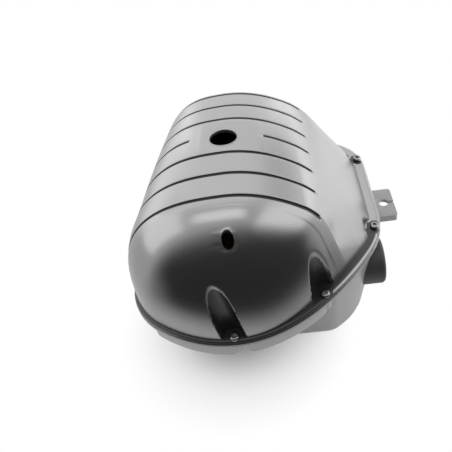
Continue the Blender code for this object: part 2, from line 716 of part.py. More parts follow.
def lower_case():
    line = flange_outline()
    case = prism("lower_case", line, -DECK, 0.0)
    case = join(case, skirt_piece(SKIRT_LEFT_U, SKIRT_NOTCH_U - SKIRT_NOTCH / 2))
    case = join(case, skirt_piece(SKIRT_NOTCH_U + SKIRT_NOTCH / 2, SKIRT_RIGHT_U))
    case = join(case, prism("tub", tub_outline(TUB_INSET, True), -CASE_DEPTH, -DECK / 2,
                            tub_outline(TUB_INSET)))
    up = Vector((0, 0, 1))
    spots = screw_places()
    for u, v in spots:
        case = join(case, round_bar("boss", place(u, v, -BOSS_DEPTH), up,
                                    [(0, BOSS_DIAMETER / 2), (BOSS_DEPTH - DECK / 2, BOSS_DIAMETER / 2)], 18))
    for u, v in ear_places():
        case = join(case, round_bar("boss", place(u, v, -FRAME_SCREW_REACH - 4 * MM), up,
                                    [(0, EAR_DIAMETER * 0.4),
                                     (FRAME_SCREW_REACH + 4 * MM - DECK / 2, EAR_DIAMETER * 0.4)], 16))
    side = Vector((1, 0, 0))
    tab, mid, out = tab_outline()
    case = join(case, prism("tab", tab, -TAB_THICK, -0.2 * MM))
    lip = [(FLANGE_RIGHT_EDGE - 3 * MM, TAB_FRONT + 0.4 * MM), (out - 1 * MM, TAB_FRONT + 0.4 * MM),
           (out - 1 * MM, TAB_FRONT + 3 * MM), (FLANGE_RIGHT_EDGE - 3 * MM, TAB_FRONT + 3 * MM)]
    case = join(case, prism("lip", lip, -TAB_THICK - TAB_LIP, -TAB_THICK / 2))
    lug = [(LUG_U - LUG_WIDTH / 2, FLANGE_BACK - 6 * MM), (LUG_U + LUG_WIDTH / 2, FLANGE_BACK - 6 * MM),
           (LUG_U + LUG_WIDTH / 2 - 6 * MM, FLANGE_BACK + LUG_REACH),
           (LUG_U - LUG_WIDTH / 2 + 6 * MM, FLANGE_BACK + LUG_REACH)]
    case = join(case, prism("lug", lug, -TAB_THICK, -0.2 * MM))
    wall_in = TUB_INSET + CASE_WALL
    room = prism("room", tub_outline(wall_in, True), -CASE_DEPTH + CASE_WALL, -DECK, tub_outline(wall_in))
    for u, v in spots:
        room = cut(room, round_bar("keep", place(u, v, -BOSS_DEPTH), up,
                                   [(0, BOSS_DIAMETER / 2), (BOSS_DEPTH, BOSS_DIAMETER / 2)], 18))
    for u, v in ear_places():
        room = cut(room, round_bar("keep", place(u, v, -FRAME_SCREW_REACH - 4 * MM), up,
                                   [(0, EAR_DIAMETER * 0.4), (FRAME_SCREW_REACH + 4 * MM, EAR_DIAMETER * 0.4)], 16))
    case = cut(case, room)
    case = cut(case, prism("window", rounded_box(0.0), -DECK * 2, DECK))
    groove = ring_prism("groove", inset(line, SEAL_INSET), inset(line, SEAL_INSET + SEAL_WIDTH),
                        -SEAL_DEPTH, 1 * MM)
    case = cut(case, groove)
    for u, v in spots:
        hole_r = INSERT_OUTER / 2 + FIT_GAP / 2
        case = cut(case, round_bar("hole", place(u, v, -INSERT_LENGTH - 2 * MM), up,
                                   [(0, hole_r), (INSERT_LENGTH + 4 * MM, hole_r)], 20))
    for u, v in ear_places():
        hole_r = FRAME_SCREW_SHANK / 2 + FIT_GAP
        case = cut(case, round_bar("hole", place(u, v, -FRAME_SCREW_REACH - 1 * MM), up,
                                   [(0, hole_r), (FRAME_SCREW_REACH + 3 * MM, hole_r)], 14))
    hole_r = OUTLET_BORE / 2 + BOOT_WALL + FIT_GAP
    case = cut(case, round_bar("bore", place(BOOT_START, OUTLET_V, OUTLET_Z), side,
                               [(0, hole_r), (90 * MM, hole_r)], 40))
    case = cut(case, round_bar("bore", place(DRAIN_U, FLANGE_BACK - 30 * MM, DRAIN_Z), Vector((0, 1, 0)),
                               [(0, DRAIN_HOLE / 2), (40 * MM, DRAIN_HOLE / 2)], 24))
    hole = round_bar("hole", place(FLANGE_RIGHT_EDGE + TAB_REACH * 0.45, mid, -TAB_THICK - 2 * MM), up,
                     [(0, TAB_HOLE / 2), (TAB_THICK + 4 * MM, TAB_HOLE / 2)], 20)
    case = cut(case, hole)
    slit = [(FLANGE_RIGHT_EDGE + TAB_REACH * 0.45, mid - TAB_SLIT / 2), (out + 2 * MM, mid - TAB_SLIT / 2),
            (out + 2 * MM, mid + TAB_SLIT / 2), (FLANGE_RIGHT_EDGE + TAB_REACH * 0.45, mid + TAB_SLIT / 2)]
    case = cut(case, prism("slit", slit, -TAB_THICK - 2 * MM, 2 * MM))
    case = cut(case, round_bar("hole", place(LUG_U, FLANGE_BACK + LUG_REACH * 0.5, -TAB_THICK - 2 * MM), up,
                               [(0, LUG_HOLE / 2), (TAB_THICK + 4 * MM, LUG_HOLE / 2)], 20))
    return finish(case, "lower_case", GREY_PLASTIC)


def case_seal():
    line = flange_outline()
    slack = FIT_GAP
    ring = ring_prism("case_seal", inset(line, SEAL_INSET + slack), inset(line, SEAL_INSET + SEAL_WIDTH - slack),
                      -SEAL_DEPTH + slack, 0.0)
    return finish(ring, "case_seal", SEAL_RUBBER)


def filter_rim():
    lip = ring_prism("filter_rim", rounded_box(RIM_LIP), rounded_box(-RIM_FIT - RIM_WALL), FIT_GAP, RIM_TOP)
    skirt = ring_prism("skirt", rounded_box(-RIM_FIT), rounded_box(-RIM_FIT - RIM_WALL),
                       -PLEAT_DEPTH, RIM_TOP / 2)
    return finish(join(lip, skirt), "filter_rim", URETHANE)


def filter_pleats():
    grow = -RIM_FIT - RIM_WALL - FIT_GAP
    u0 = FILTER_LEFT - grow
    u1 = FILTER_RIGHT + grow
    v0 = FILTER_FRONT - grow + 2 * MM
    v1 = FILTER_BACK + grow - 2 * MM
    low = -PLEAT_DEPTH + SCREEN + FIT_GAP + 0.3 * MM
    high = RIM_TOP - SCREEN - FIT_GAP - PLEAT_SHEET * 4.4
    upper = []
    lower = []
    for k in range(2 * PLEAT_COUNT + 1):
        v = v0 + (v1 - v0) * k / (2 * PLEAT_COUNT)
        z = low if k % 2 == 0 else high
        lower.append((v, z))
        upper.append((v, z + PLEAT_SHEET * 4.2))
    loop = lower + upper[::-1]
    bm = bmesh.new()
    a = [bm.verts.new(place(u0 + 3 * MM, v, z)) for v, z in loop]
    b = [bm.verts.new(place(u1 - 3 * MM, v, z)) for v, z in loop]
    n = len(lower)
    for i in range(n - 1):
        for row, flip in ((a, 1), (b, 0)):
            quad = (row[i], row[i + 1], row[2 * n - 2 - i], row[2 * n - 1 - i])
            bm.faces.new(quad[::-1] if flip else quad)
    for i in range(2 * n):
        j = (i + 1) % (2 * n)
        bm.faces.new((a[i], a[j], b[j], b[i]))
    return finish(mesh_object("filter_pleats", bm), "filter_pleats", PAPER)


def filter_screen(name, z):
    grow = -RIM_FIT - RIM_WALL - FIT_GAP
    plate = prism(name, rounded_box(grow), z, z + SCREEN)
    columns = 4
    rows = 5
    wide = FILTER_RIGHT - FILTER_LEFT + 2 * grow - SCREEN_BAR
    long = FILTER_BACK - FILTER_FRONT + 2 * grow - SCREEN_BAR
    for i in range(columns):
        for j in range(rows):
            u0 = FILTER_LEFT - grow + SCREEN_BAR + wide * i / columns
            v0 = FILTER_FRONT - grow + SCREEN_BAR + long * j / rows
            u1 = u0 + wide / columns - SCREEN_BAR
            v1 = v0 + long / rows - SCREEN_BAR
            if i in (0, columns - 1) and j in (0, rows - 1):
                inner = 4 * MM
                if i == 0:
                    u0 = u0 + inner
                else:
                    u1 = u1 - inner
            plate = cut(plate, prism("hole", [(u0, v0), (u1, v0), (u1, v1), (u0, v1)], z - SCREEN, z + 2 * SCREEN))
    return finish(plate, name, SCREEN_STEEL)


def filter_frame():
    low = RIM_TOP + FIT_GAP
    top = low + FRAME_THICK
    frame = ring_prism("filter_frame", rounded_box(RIM_LIP), rounded_box(RIM_LIP - FRAME_LIP), low, top)
    up = Vector((0, 0, 1))
    for u, v in ear_places():
        ear = round_bar("ear", place(u, v, FIT_GAP), up,
                        [(0, EAR_DIAMETER / 2 - FIT_GAP), (top - FIT_GAP, EAR_DIAMETER / 2 - FIT_GAP)], 24)
        frame = join(frame, ear)
        side = 1 if u > 0 else -1
        arm = [(u, v - 4 * MM), (u - side * (EAR_DIAMETER / 2 + 4 * MM), v - 4 * MM),
               (u - side * (EAR_DIAMETER / 2 + 4 * MM), v + 4 * MM), (u, v + 4 * MM)]
        if side < 0:
            arm = arm[::-1]
        frame = join(frame, prism("arm", arm, low + 0.2 * MM, top - 0.2 * MM))
    for u, v in ear_places():
        hole_r = FRAME_SCREW_SHANK / 2 + FIT_GAP
        frame = cut(frame, round_bar("hole", place(u, v, -5 * MM), up, [(0, hole_r), (30 * MM, hole_r)], 14))
    return finish(frame, "filter_frame", FRAME_PLASTIC)


def pan_screw(name, u, v, seat, head, head_high, shank, reach, sides):
    up = Vector((0, 0, 1))
    low = -reach
    r = shank / 2
    steps = [(0, r * 0.7), (0.8 * MM, r), (seat - low, r), (seat - low, head / 2),
             (seat - low + head_high * 0.55, head / 2), (seat - low + head_high * 0.85, head * 0.42),
             (seat - low + head_high, head * 0.33)]
    screw = round_bar(name, place(u, v, low), up, steps, sides)
    drive = round_bar("drive", place(u, v, seat + head_high - DRIVE_DEPTH), up,
                      [(0, DRIVE_ACROSS / 2), (DRIVE_DEPTH * 2, DRIVE_ACROSS / 2)], 6)
    return finish(cut(screw, drive), name, SCREW_STEEL)


def cover_fasteners():
    seat = FIT_GAP + COVER_FLANGE + FIT_GAP
    up = Vector((0, 0, 1))
    for k, (u, v) in enumerate(screw_places(), 1):
        pan_screw("cover_screw_%d" % k, u, v, seat, SCREW_HEAD, SCREW_HEAD_HEIGHT, SCREW_SHANK, SCREW_REACH, 14)
        outer = INSERT_OUTER / 2
        inner = SCREW_SHANK / 2 + FIT_GAP
        sleeve = tube("insert", place(u, v, -INSERT_LENGTH - FIT_GAP), up,
                      [(0, inner), (0, outer - 0.5 * MM), (0.5 * MM, outer), (INSERT_LENGTH, outer),
                       (INSERT_LENGTH, inner)], 14)
        finish(sleeve, "screw_insert_%d" % k, BRASS)


def frame_fasteners():
    seat = RIM_TOP + FIT_GAP + FRAME_THICK + FIT_GAP
    for k, (u, v) in enumerate(ear_places(), 1):
        pan_screw("frame_screw_%d" % k, u, v, seat, FRAME_SCREW_HEAD, 2.6 * MM, FRAME_SCREW_SHANK,
                  FRAME_SCREW_REACH, 12)


def outlet_boot():
    inner = OUTLET_BORE / 2
    outer = inner + BOOT_WALL
    length = BOOT_END - BOOT_START
    bead = outer + BOOT_BEAD
    profile = [(0, inner), (0, bead), (BOOT_BEAD_LENGTH, bead), (BOOT_BEAD_LENGTH, outer)]
    for k in range(6):
        a = math.pi / 2 * k / 5
        profile.append((length - BOOT_LIP + BOOT_LIP * math.sin(a), outer - BOOT_LIP * 0.8 * (1 - math.cos(a))))
    profile.append((length, inner))
    boot = tube("outlet_boot", place(BOOT_START, OUTLET_V, OUTLET_Z), Vector((1, 0, 0)), profile, 40)
    return finish(boot, "outlet_boot", BLACK_RUBBER)


def drain_plug():
    wall_out = FLANGE_BACK - TUB_INSET
    back = Vector((0, 1, 0))
    r = DRAIN_HOLE / 2 - FIT_GAP
    start = place(DRAIN_U, wall_out - CASE_WALL - 3 * MM, DRAIN_Z)
    run = CASE_WALL + 3 * MM + FIT_GAP
    steps = [(0, r * 0.75), (1.5 * MM, r), (run, r), (run, DRAIN_HEAD / 2),
             (run + DRAIN_HEAD_THICK - 1 * MM, DRAIN_HEAD / 2), (run + DRAIN_HEAD_THICK, DRAIN_HEAD / 2 - 1 * MM)]
    plug = round_bar("drain_plug", start, back, steps, 24)
    return finish(plug, "drain_plug", BLACK_RUBBER, place(DRAIN_U, wall_out, DRAIN_Z))


clear_scene()
upper_cover()
lower_case()
case_seal()
filter_rim()
filter_pleats()
filter_screen("filter_screen_top", RIM_TOP - SCREEN)
filter_screen("filter_screen_bottom", -PLEAT_DEPTH)
filter_frame()
cover_fasteners()
frame_fasteners()
outlet_boot()
drain_plug()
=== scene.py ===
# %% [markdown]
# # Air filter housing
# The real object is a moulded air box: a domed black cover with cross grooves, screwed by its flange to a
# lower case that holds a panel filter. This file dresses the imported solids: it rebuilds the moulded skins at
# a fine resolution, adds the small forms, and gives each surface a finish.

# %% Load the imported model
import bmesh
import bpy
import numpy as np
from math import acos, asin, atan, cos, hypot, pi, radians, sin, tan
from mathutils import Matrix, Vector
from mathutils.bvhtree import BVHTree
from mathutils.geometry import delaunay_2d_cdt


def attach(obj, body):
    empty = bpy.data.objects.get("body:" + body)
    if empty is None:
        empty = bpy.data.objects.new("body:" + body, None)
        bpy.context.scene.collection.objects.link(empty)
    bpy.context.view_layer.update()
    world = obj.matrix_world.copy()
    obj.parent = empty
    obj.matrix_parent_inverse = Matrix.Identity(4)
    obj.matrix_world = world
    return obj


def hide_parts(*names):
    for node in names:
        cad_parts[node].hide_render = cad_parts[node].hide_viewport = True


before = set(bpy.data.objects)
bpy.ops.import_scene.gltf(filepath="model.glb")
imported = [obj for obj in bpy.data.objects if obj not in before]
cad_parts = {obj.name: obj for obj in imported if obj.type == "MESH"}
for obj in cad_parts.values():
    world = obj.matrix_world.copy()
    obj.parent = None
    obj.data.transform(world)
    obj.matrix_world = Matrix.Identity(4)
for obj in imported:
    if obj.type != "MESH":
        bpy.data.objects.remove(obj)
scene = bpy.context.scene
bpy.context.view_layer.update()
print("nodes:", len(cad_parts))

# %% [markdown]
# ## The camera
# Projecting the model's flange, grooves and screws into the photograph gave this view, down from the front
# and turned a little.

# %% Camera
AZIMUTH, PITCH, ROLL = (radians(a) for a in (9.5, 45.5, 14.1))
FOCAL_PIXELS, IMAGE_SIZE, SENSOR = 524.0, 452.0, 36
CAMERA_AT = (0.0324, -0.3848, 0.4632)
flat = cos(PITCH)
forward = Vector((-sin(AZIMUTH) * flat, cos(AZIMUTH) * flat, -sin(PITCH)))
level = Vector((cos(AZIMUTH), sin(AZIMUTH), 0))
down = forward.cross(level)
right = level * cos(ROLL) + down * sin(ROLL)
up = level * sin(ROLL) - down * cos(ROLL)


def add_object(name, data):
    ob = bpy.data.objects.new(name, data)
    scene.collection.objects.link(ob)
    return ob


camera = add_object("camera", bpy.data.cameras.new("camera"))
camera.data.sensor_width = SENSOR
camera.data.lens = SENSOR * FOCAL_PIXELS / IMAGE_SIZE
turn = Matrix((right, up, -forward)).transposed().to_4x4()
camera.matrix_world = Matrix.Translation(CAMERA_AT) @ turn
scene.camera = camera
print("lens:", round(camera.data.lens, 1))

# %% [markdown]
# ## Plan and section of the mouldings
# Sizes here are millimetres: u to the right, v to the back from the front of the flange, z up from the
# flange plane. The outline is a parabola in front, with a straight right edge and a left edge that tapers to
# the back.

# %% Flange outline
CASE_DEPTH, ORIGIN_U, ORIGIN_V = 65, 25, 145
CURVE, LEFT_U, RIGHT_U = 0.0048, -71, 132
RIGHT_EDGE, LEFT_EDGE, BACK = 150, -99.5, 262
TAPER, BACK_RIGHT, BACK_LEFT = radians(9), 52, 38


def place(points):
    p = np.asarray(points, float)
    return (p - (ORIGIN_U, ORIGIN_V, -CASE_DEPTH)) / 1000


def arc(cu, cv, radius, start, end, steps):
    a = np.linspace(start, end, steps)
    return np.c_[cu + radius * np.cos(a), cv + radius * np.sin(a)]


def flange_outline(step=1.5):
    # the numbers over step are about the length of each curve
    u = np.linspace(LEFT_U, RIGHT_U, int(260 / step))
    front = np.c_[u, CURVE * u * u]
    slope = atan(2 * CURVE * RIGHT_U)
    r = (RIGHT_EDGE - RIGHT_U) / (1 - sin(slope))
    cv = CURVE * RIGHT_U ** 2 + r * cos(slope)
    corner = arc(RIGHT_EDGE - r, cv, r, slope - pi / 2, 0, int(60 / step))
    back_right = arc(RIGHT_EDGE - BACK_RIGHT, BACK - BACK_RIGHT, BACK_RIGHT, 0, pi / 2, int(80 / step))
    slope = atan(-2 * CURVE * LEFT_U)
    r = (LEFT_U - LEFT_EDGE) / (1 - sin(slope))
    cv = CURVE * LEFT_U ** 2 + r * cos(slope)
    left = arc(LEFT_EDGE + r, cv, r, pi - TAPER, 1.5 * pi - slope, int(80 / step))
    bv = BACK - BACK_LEFT
    bu = LEFT_EDGE + (bv - cv) * tan(TAPER) + BACK_LEFT / cos(TAPER)
    back_left = arc(bu, bv, BACK_LEFT, pi / 2, pi - TAPER, int(60 / step))
    return even_points(np.vstack([front[:-1], corner, back_right, back_left, left[:-1]]), step=step)


def even_points(ring, step=None, count=None):
    # the same closed ring, with points at equal distances along it
    closed = np.vstack([ring, ring[:1]])
    run = np.r_[0, np.cumsum(np.hypot(*np.diff(closed, axis=0).T))]
    count = count or int(round(run[-1] / step))
    at = np.linspace(0, run[-1], count, endpoint=False)
    return np.c_[np.interp(at, run, closed[:, 0]), np.interp(at, run, closed[:, 1])]


def inset(points, d):
    e = np.roll(points, -1, 0) - np.roll(points, 1, 0)
    e = e / np.hypot(e[:, 0], e[:, 1])[:, None]
    return points + np.c_[-e[:, 1], e[:, 0]] * np.reshape(d, (-1, 1))


outline = flange_outline()
print("outline points:", len(outline), "width", round(np.ptp(outline[:, 0]), 1))

# %% [markdown]
# The dome's foot is the same outline moved inwards, less so in front on the left, where the wall nearly
# meets the edge. Two branches from the front point to the back give the width at each v, and the ridge gives
# the height.

# %% Foot and ridge of the dome
DOME_INSET, LEFT_INSET = 7.5, 3.5
INSET_U, INSET_V, INSET_RUN = 20, 30, 90
CROWN, CROWN_DROP, DROP_FROM, DROP_POWER = 115.5, 13, 126, 1.6
GROOVE_FIRST, GROOVE_PITCH, GROOVE_COUNT = 67.6, 28, 7


def smooth(x):
    x = np.clip(x, 0, 1)
    return x * x * (3 - 2 * x)


edge = flange_outline(0.4)
on_left, in_front = (1 - smooth((x - x0) / INSET_RUN) for x, x0 in zip(edge.T, (INSET_U, INSET_V)))
foot = inset(edge, DOME_INSET - (DOME_INSET - LEFT_INSET) * on_left * in_front)
turned = np.roll(foot, -int(np.argmin(foot[:, 1])), 0)
top_at = int(np.argmax(turned[:, 1]))
right_branch = turned[:top_at + 1]
left_branch = np.vstack([turned[:1], turned[:top_at - 1:-1]])


def branch_u(branch, v):
    vs = np.maximum.accumulate(branch[:, 1])
    return np.interp(v, vs, branch[:, 0])


def ridge(v):
    last_groove = GROOVE_FIRST + (GROOVE_COUNT - 1) * GROOVE_PITCH
    drop = np.clip((v - DROP_FROM) / (last_groove - DROP_FROM), 0, 1.3)
    return CROWN - CROWN_DROP * drop ** DROP_POWER


print("foot points:", len(right_branch), "right,", len(left_branch), "left")

# %% [markdown]
# The cover is a stack of cross sections. Each has a rounded left side and, on the right, an arch that turns
# at a crease into a straight flank. They are formulas, so that the lining can use them again.

# %% Cross sections of the cover
CROWN_U, FOOT_Z, LEFT_POWER, RIGHT_POWER = 8, 0.3, 2.7, 2.3
CREASE_U, CREASE_DROP, CREASE_TURN, CREASE_BLEND, CREASE_REACH = 88, 37, 0.6, 0.1, 0.79
FLANK_FROM, FLANK_RUN = 22, 42


def creased(t, crown, far, high):
    reach = np.minimum(CREASE_U, crown + CREASE_REACH * (far - crown))
    drop = CREASE_DROP * high / CROWN

    def straight(x):
        k = np.minimum(x / CREASE_TURN, 1)
        m = np.clip((x - CREASE_TURN) / (1 - CREASE_TURN), 0, 1)
        return crown + (reach - crown) * k + (far - reach) * m, high - drop * k ** 2 - (high - drop) * m

    a, b, c = (straight(np.full_like(t, CREASE_TURN + s * CREASE_BLEND)) for s in (-1, 0, 1))
    k = np.clip((t - CREASE_TURN + CREASE_BLEND) / (2 * CREASE_BLEND), 0, 1)
    soft = [a[i] * (1 - k) ** 2 + b[i] * 2 * k * (1 - k) + c[i] * k ** 2 for i in (0, 1)]
    near = np.abs(t - CREASE_TURN) < CREASE_BLEND
    plain = straight(t)
    return np.where(near, soft[0], plain[0]), np.where(near, soft[1], plain[1])


def sections(v, high, t):
    # v and high are columns, t is a row: the result is a grid of (u, v, z)
    v, high = v[:, None], high[:, None]
    t = np.broadcast_to(t[None, :], (len(v), len(t)))
    near_u, far_u = branch_u(left_branch, v), branch_u(right_branch, v)
    crown = CROWN_U * smooth(v / GROOVE_FIRST)
    a = np.abs(t) * pi / 2
    s, c = np.sin(a), np.maximum(np.cos(a), 0)
    u_left, z_left = crown - (crown - near_u) * s ** (2 / LEFT_POWER), high * c ** (2 / LEFT_POWER)
    u_round, z_round = crown + (far_u - crown) * s ** (2 / RIGHT_POWER), high * c ** (2 / RIGHT_POWER)
    u_flat, z_flat = creased(np.abs(t), crown, far_u, high)
    mix = smooth((v - FLANK_FROM) / FLANK_RUN)
    u = np.where(t < 0, u_left, u_round + (u_flat - u_round) * mix)
    z = np.where(t < 0, z_left, z_round + (z_flat - z_round) * mix)
    return np.stack([u, np.broadcast_to(v, u.shape), z + FOOT_Z], axis=2)


print("crease at u", CREASE_U)

# %% [markdown]
# In front the rows shrink along a quarter ellipse, which makes the dome, and at the back along a shorter
# one. They lie closer across each groove, and the points closer towards the foot.

# %% Rows and steps of the grid
NOSE, TAIL, FIRST_ANGLE, TAIL_ROWS = 64, 16.5, 0.03, 22
BAND, BAND_ROWS, BAND_CLEAR = 2.1, 15, 2.3


def dome_rows(nose_rows, step, groove_rows):
    a = np.linspace(FIRST_ANGLE, pi / 2, nose_rows)
    v, high = LEFT_INSET + NOSE * (1 - np.cos(a)), CROWN * np.sin(a)
    end = BACK - DOME_INSET - TAIL
    body = np.arange(v[-1] + step, end, step)
    if groove_rows:
        centres = GROOVE_FIRST + GROOVE_PITCH * np.arange(GROOVE_COUNT)
        away = np.min(np.abs(body[:, None] - centres[None]), axis=1)
        fine = (centres[:, None] + np.linspace(-BAND, BAND, BAND_ROWS)[None]).ravel()
        body = np.sort(np.r_[body[away > BAND_CLEAR], fine[fine > v[-1] + 0.15]])
        body = body[body < end - 0.2]
    b = np.linspace(pi / 2, FIRST_ANGLE, TAIL_ROWS)
    v = np.r_[v, body, BACK - DOME_INSET - TAIL * (1 - np.cos(b))]
    return v, np.r_[high, ridge(body), ridge(end) * np.sin(b)]


def section_steps(left_steps, right_steps):
    left = -(1 - (1 - np.linspace(1, 0, left_steps, endpoint=False)) ** 1.35)
    return np.r_[left, 1 - (1 - np.linspace(0, 1, right_steps)) ** 1.2]


print("rows of a plain grid:", len(dome_rows(30, 5, False)[0]))

# %% [markdown]
# ## Grooves and screw channels
# Grooves and the deep channels above the screws are pressed into the grid instead of being cut. The surface
# then stays one smooth sheet with soft lips, as a mould leaves it.

# %% Screws and their channels
SCREW_INSET, FLANGE_TOP = 5.6, 4.5
CHANNEL_OUT, CHANNEL_IN, CHANNEL_SIDE, CHANNEL_FLARE = 18, 12, 4, 6
screw_line = inset(edge, SCREW_INSET)


def station(side, at):
    axis = 0 if side in ("front", "back") else 1
    near = screw_line[np.abs(screw_line[:, axis] - at) < 0.5]
    key = near[:, 1 - axis] * (1 if side in ("back", "right") else -1)
    near = near[key > key.max() - 20]
    return near[np.argmin(np.abs(near[:, axis] - at))]


screws = [station("front", 0), station("front", 83), station("right", 115), station("right", 219),
          station("back", 30), station("left", 200), station("left", 78)]
# how far each channel leans per mm of height, and its radius
leans = [(-0.15, -0.005), (0.05, -0.08)] + [(0, 0)] * 5
channels = [11, 14.4] + [11] * 5


def inward(spot):
    k = int(np.argmin(np.hypot(*(screw_line - spot).T)))
    e = screw_line[(k + 4) % len(screw_line)] - screw_line[k - 4]
    e = e / np.hypot(*e)
    return np.array((-e[1], e[0]))


def press_channels(grid, grow, lip):
    g = grid.copy()
    for spot, lean, radius in zip(screws, leans, channels):
        radius = radius + grow
        w = inward(spot)
        side = np.array((w[1], -w[0]))
        z = g[..., 2] - FLANGE_TOP
        ru, rv = g[..., 0] - spot[0] - lean[0] * z, g[..., 1] - spot[1] - lean[1] * z
        across, deep = ru * side[0] + rv * side[1], ru * w[0] + rv * w[1]
        # half round in plan, falling off beside it, with a soft lip where it meets the skin
        beside = np.maximum(np.abs(across) - radius, 0)
        wall = np.sqrt(np.maximum(radius ** 2 - across ** 2, 0)) - beside * CHANNEL_FLARE
        near = (np.abs(across) < radius + CHANNEL_SIDE) & (deep > -CHANNEL_OUT) & (deep < radius + CHANNEL_IN)
        push = np.where(near, 0.5 * (wall - deep + np.sqrt((wall - deep) ** 2 + lip ** 2)), 0)
        g[..., 0] += push * w[0]
        g[..., 1] += push * w[1]
    return g


print("screws:", np.round(screws, 1).tolist())

# %% [markdown]
# The seven cross grooves stiffen the vault. Each ends at the crease, and the fourth stops beside the top
# hole, where a low pad is raised instead. Their depth is a formula over the grid, so they keep one width.

# %% Groove depth over the grid
GROOVE_WIDTH, GROOVE_DEPTH, GROOVE_END, GROOVE_LEFT = 2.9, 1.7, 2.5, -0.74
BREAK_GROOVE, BREAK_LEFT, BREAK_RIGHT = 3, -23, 46
PAD_LEFT, PAD_RIGHT, PAD_FRONT, PAD_BACK, PAD_RISE, PAD_EDGE = -13, 44, 128, 175, 0.3, 1.6
PARTING_V, PARTING_STEP, PARTING_RUN = 59, 0.2, 0.9


def window(x, low, high, edge):
    return smooth((x - low) / edge + 0.5) * smooth((high - x) / edge + 0.5)


def groove_depth(grid, t):
    # how far the skin sinks, and a mask for painted shade over each groove and its lips
    u, v = grid[..., 0], grid[..., 1]
    ends = smooth((CREASE_U - 1 - u) / GROOVE_END) * smooth((t[None, :] - GROOVE_LEFT) / 0.03)
    depth, dark = np.zeros_like(u), np.zeros_like(u)
    for k in range(GROOVE_COUNT):
        d = np.abs(v - GROOVE_FIRST - GROOVE_PITCH * k) / (GROOVE_WIDTH / 2)
        here = ends * (1 - window(u, BREAK_LEFT, BREAK_RIGHT, GROOVE_END)) if k == BREAK_GROOVE else ends
        depth = np.maximum(depth, smooth(1.42 - d) ** 0.8 * here)
        # painted shade, a little wider than the groove so that its lips are darkened too
        dark = np.maximum(dark, smooth((1.55 - d) * 2.5) * here)
    pad = window(u, PAD_LEFT, PAD_RIGHT, PAD_EDGE) * window(v, PAD_FRONT, PAD_BACK, PAD_EDGE)
    step = PARTING_STEP * smooth((PARTING_V - v) / PARTING_RUN)
    return depth * GROOVE_DEPTH + step - pad * PAD_RISE, dark


print("grooves:", GROOVE_COUNT)

# %% [markdown]
# ## Building meshes
# Mouldings are skins of many small faces. These helpers make the faces of a grid, sweep closed loops into a
# skin that bends with the outline, and hand a finished piece to its body.

# %% Mesh helpers
def grid_faces(rows, columns, close=False):
    j, i = np.meshgrid(np.arange(rows - 1), np.arange(columns if close else columns - 1), indexing="ij")
    n = (i + 1) % columns
    a, b = j * columns + i, j * columns + n
    return np.stack([a, b, b + columns, a + columns], axis=2).reshape(-1, 4)


def add_mesh(bm, points, faces):
    verts = [bm.verts.new(p) for p in place(points)]
    for f in faces:
        bm.faces.new([verts[k] for k in f])
    return verts


def full_turn(steps):
    return [2 * pi * k / steps for k in range(steps)]


def bridge(bm, rings):
    # the faces between closed rings of points
    for a, b in zip(rings, rings[1:]):
        for k in range(len(a)):
            n = (k + 1) % len(a)
            bm.faces.new((a[k], a[n], b[n], b[k]))


def normals(grid):
    along, across = np.gradient(grid, axis=0), np.gradient(grid, axis=1)
    n = np.cross(across, along)
    return n / np.maximum(np.linalg.norm(n, axis=2), 1e-9)[..., None]


def sweep(bm, loops, caps=(False, False)):
    # loops are closed rings of equal length, from one end of the skin to the other
    pts = np.vstack(loops)
    n = len(loops[0])
    verts = add_mesh(bm, pts, grid_faces(len(loops), n, True))
    if caps[0]:
        bm.faces.new(verts[:n][::-1])
    if caps[1]:
        bm.faces.new(verts[-n:])
    return verts


def at_height(ring, z):
    return np.c_[ring, np.full(len(ring), z)]


def triangles(mesh):
    return sum(len(p.vertices) - 2 for p in mesh.polygons)


def mesh_object(name, bm, sharp, materials=()):
    me = bpy.data.meshes.new(name)
    bm.to_mesh(me)
    bm.free()
    for m in materials:
        me.materials.append(m)
    me.polygons.foreach_set("use_smooth", [True] * len(me.polygons))
    me.set_sharp_from_angle(angle=radians(sharp))
    return add_object(name, me)


def finish_piece(name, bm, body, nodes, materials, sharp, turn_out=True):
    if turn_out:
        bmesh.ops.recalc_face_normals(bm, faces=bm.faces[:])
    ob = mesh_object(name, bm, sharp, materials)
    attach(ob, body)
    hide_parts(*nodes)
    print(name, "triangles:", triangles(ob.data))


print("faces of a grid of 3 by 3 points:", len(grid_faces(3, 3)))

# %% [markdown]
# ## Finishes
# One node group makes the grain that all materials here share: a fine bump and a slow change of roughness.
# Each material sets its own scale and strength.

# %% Shared grain group
GRAIN_INPUTS = {"Grain Scale": 900, "Patch Scale": 18, "Roughness": 0.4, "Roughness Spread": 0.1}


def set_inputs(node, values):
    for label, value in values.items():
        node.inputs[label].default_value = value


def add_node(tree, kind, values=None):
    n = tree.nodes.new("ShaderNode" + kind)
    set_inputs(n, values or {})
    return n


def math_node(tree, how, a, b=None, c=None):
    n = add_node(tree, "Math")
    n.operation = how
    for k, x in enumerate((a, b, c)):
        if isinstance(x, (int, float)):
            n.inputs[k].default_value = x
        elif x is not None:
            tree.links.new(x, n.inputs[k])
    return n.outputs[0]


def add_socket(tree, label, way, kind="Float"):
    return tree.interface.new_socket(label, in_out=way, socket_type="NodeSocket" + kind)


def noise(tree, vector, scale, detail):
    n = add_node(tree, "TexNoise", {"Detail": detail, "Roughness": 0.55})
    tree.links.new(vector, n.inputs["Vector"])
    tree.links.new(scale, n.inputs["Scale"])
    return n.outputs["Fac"]


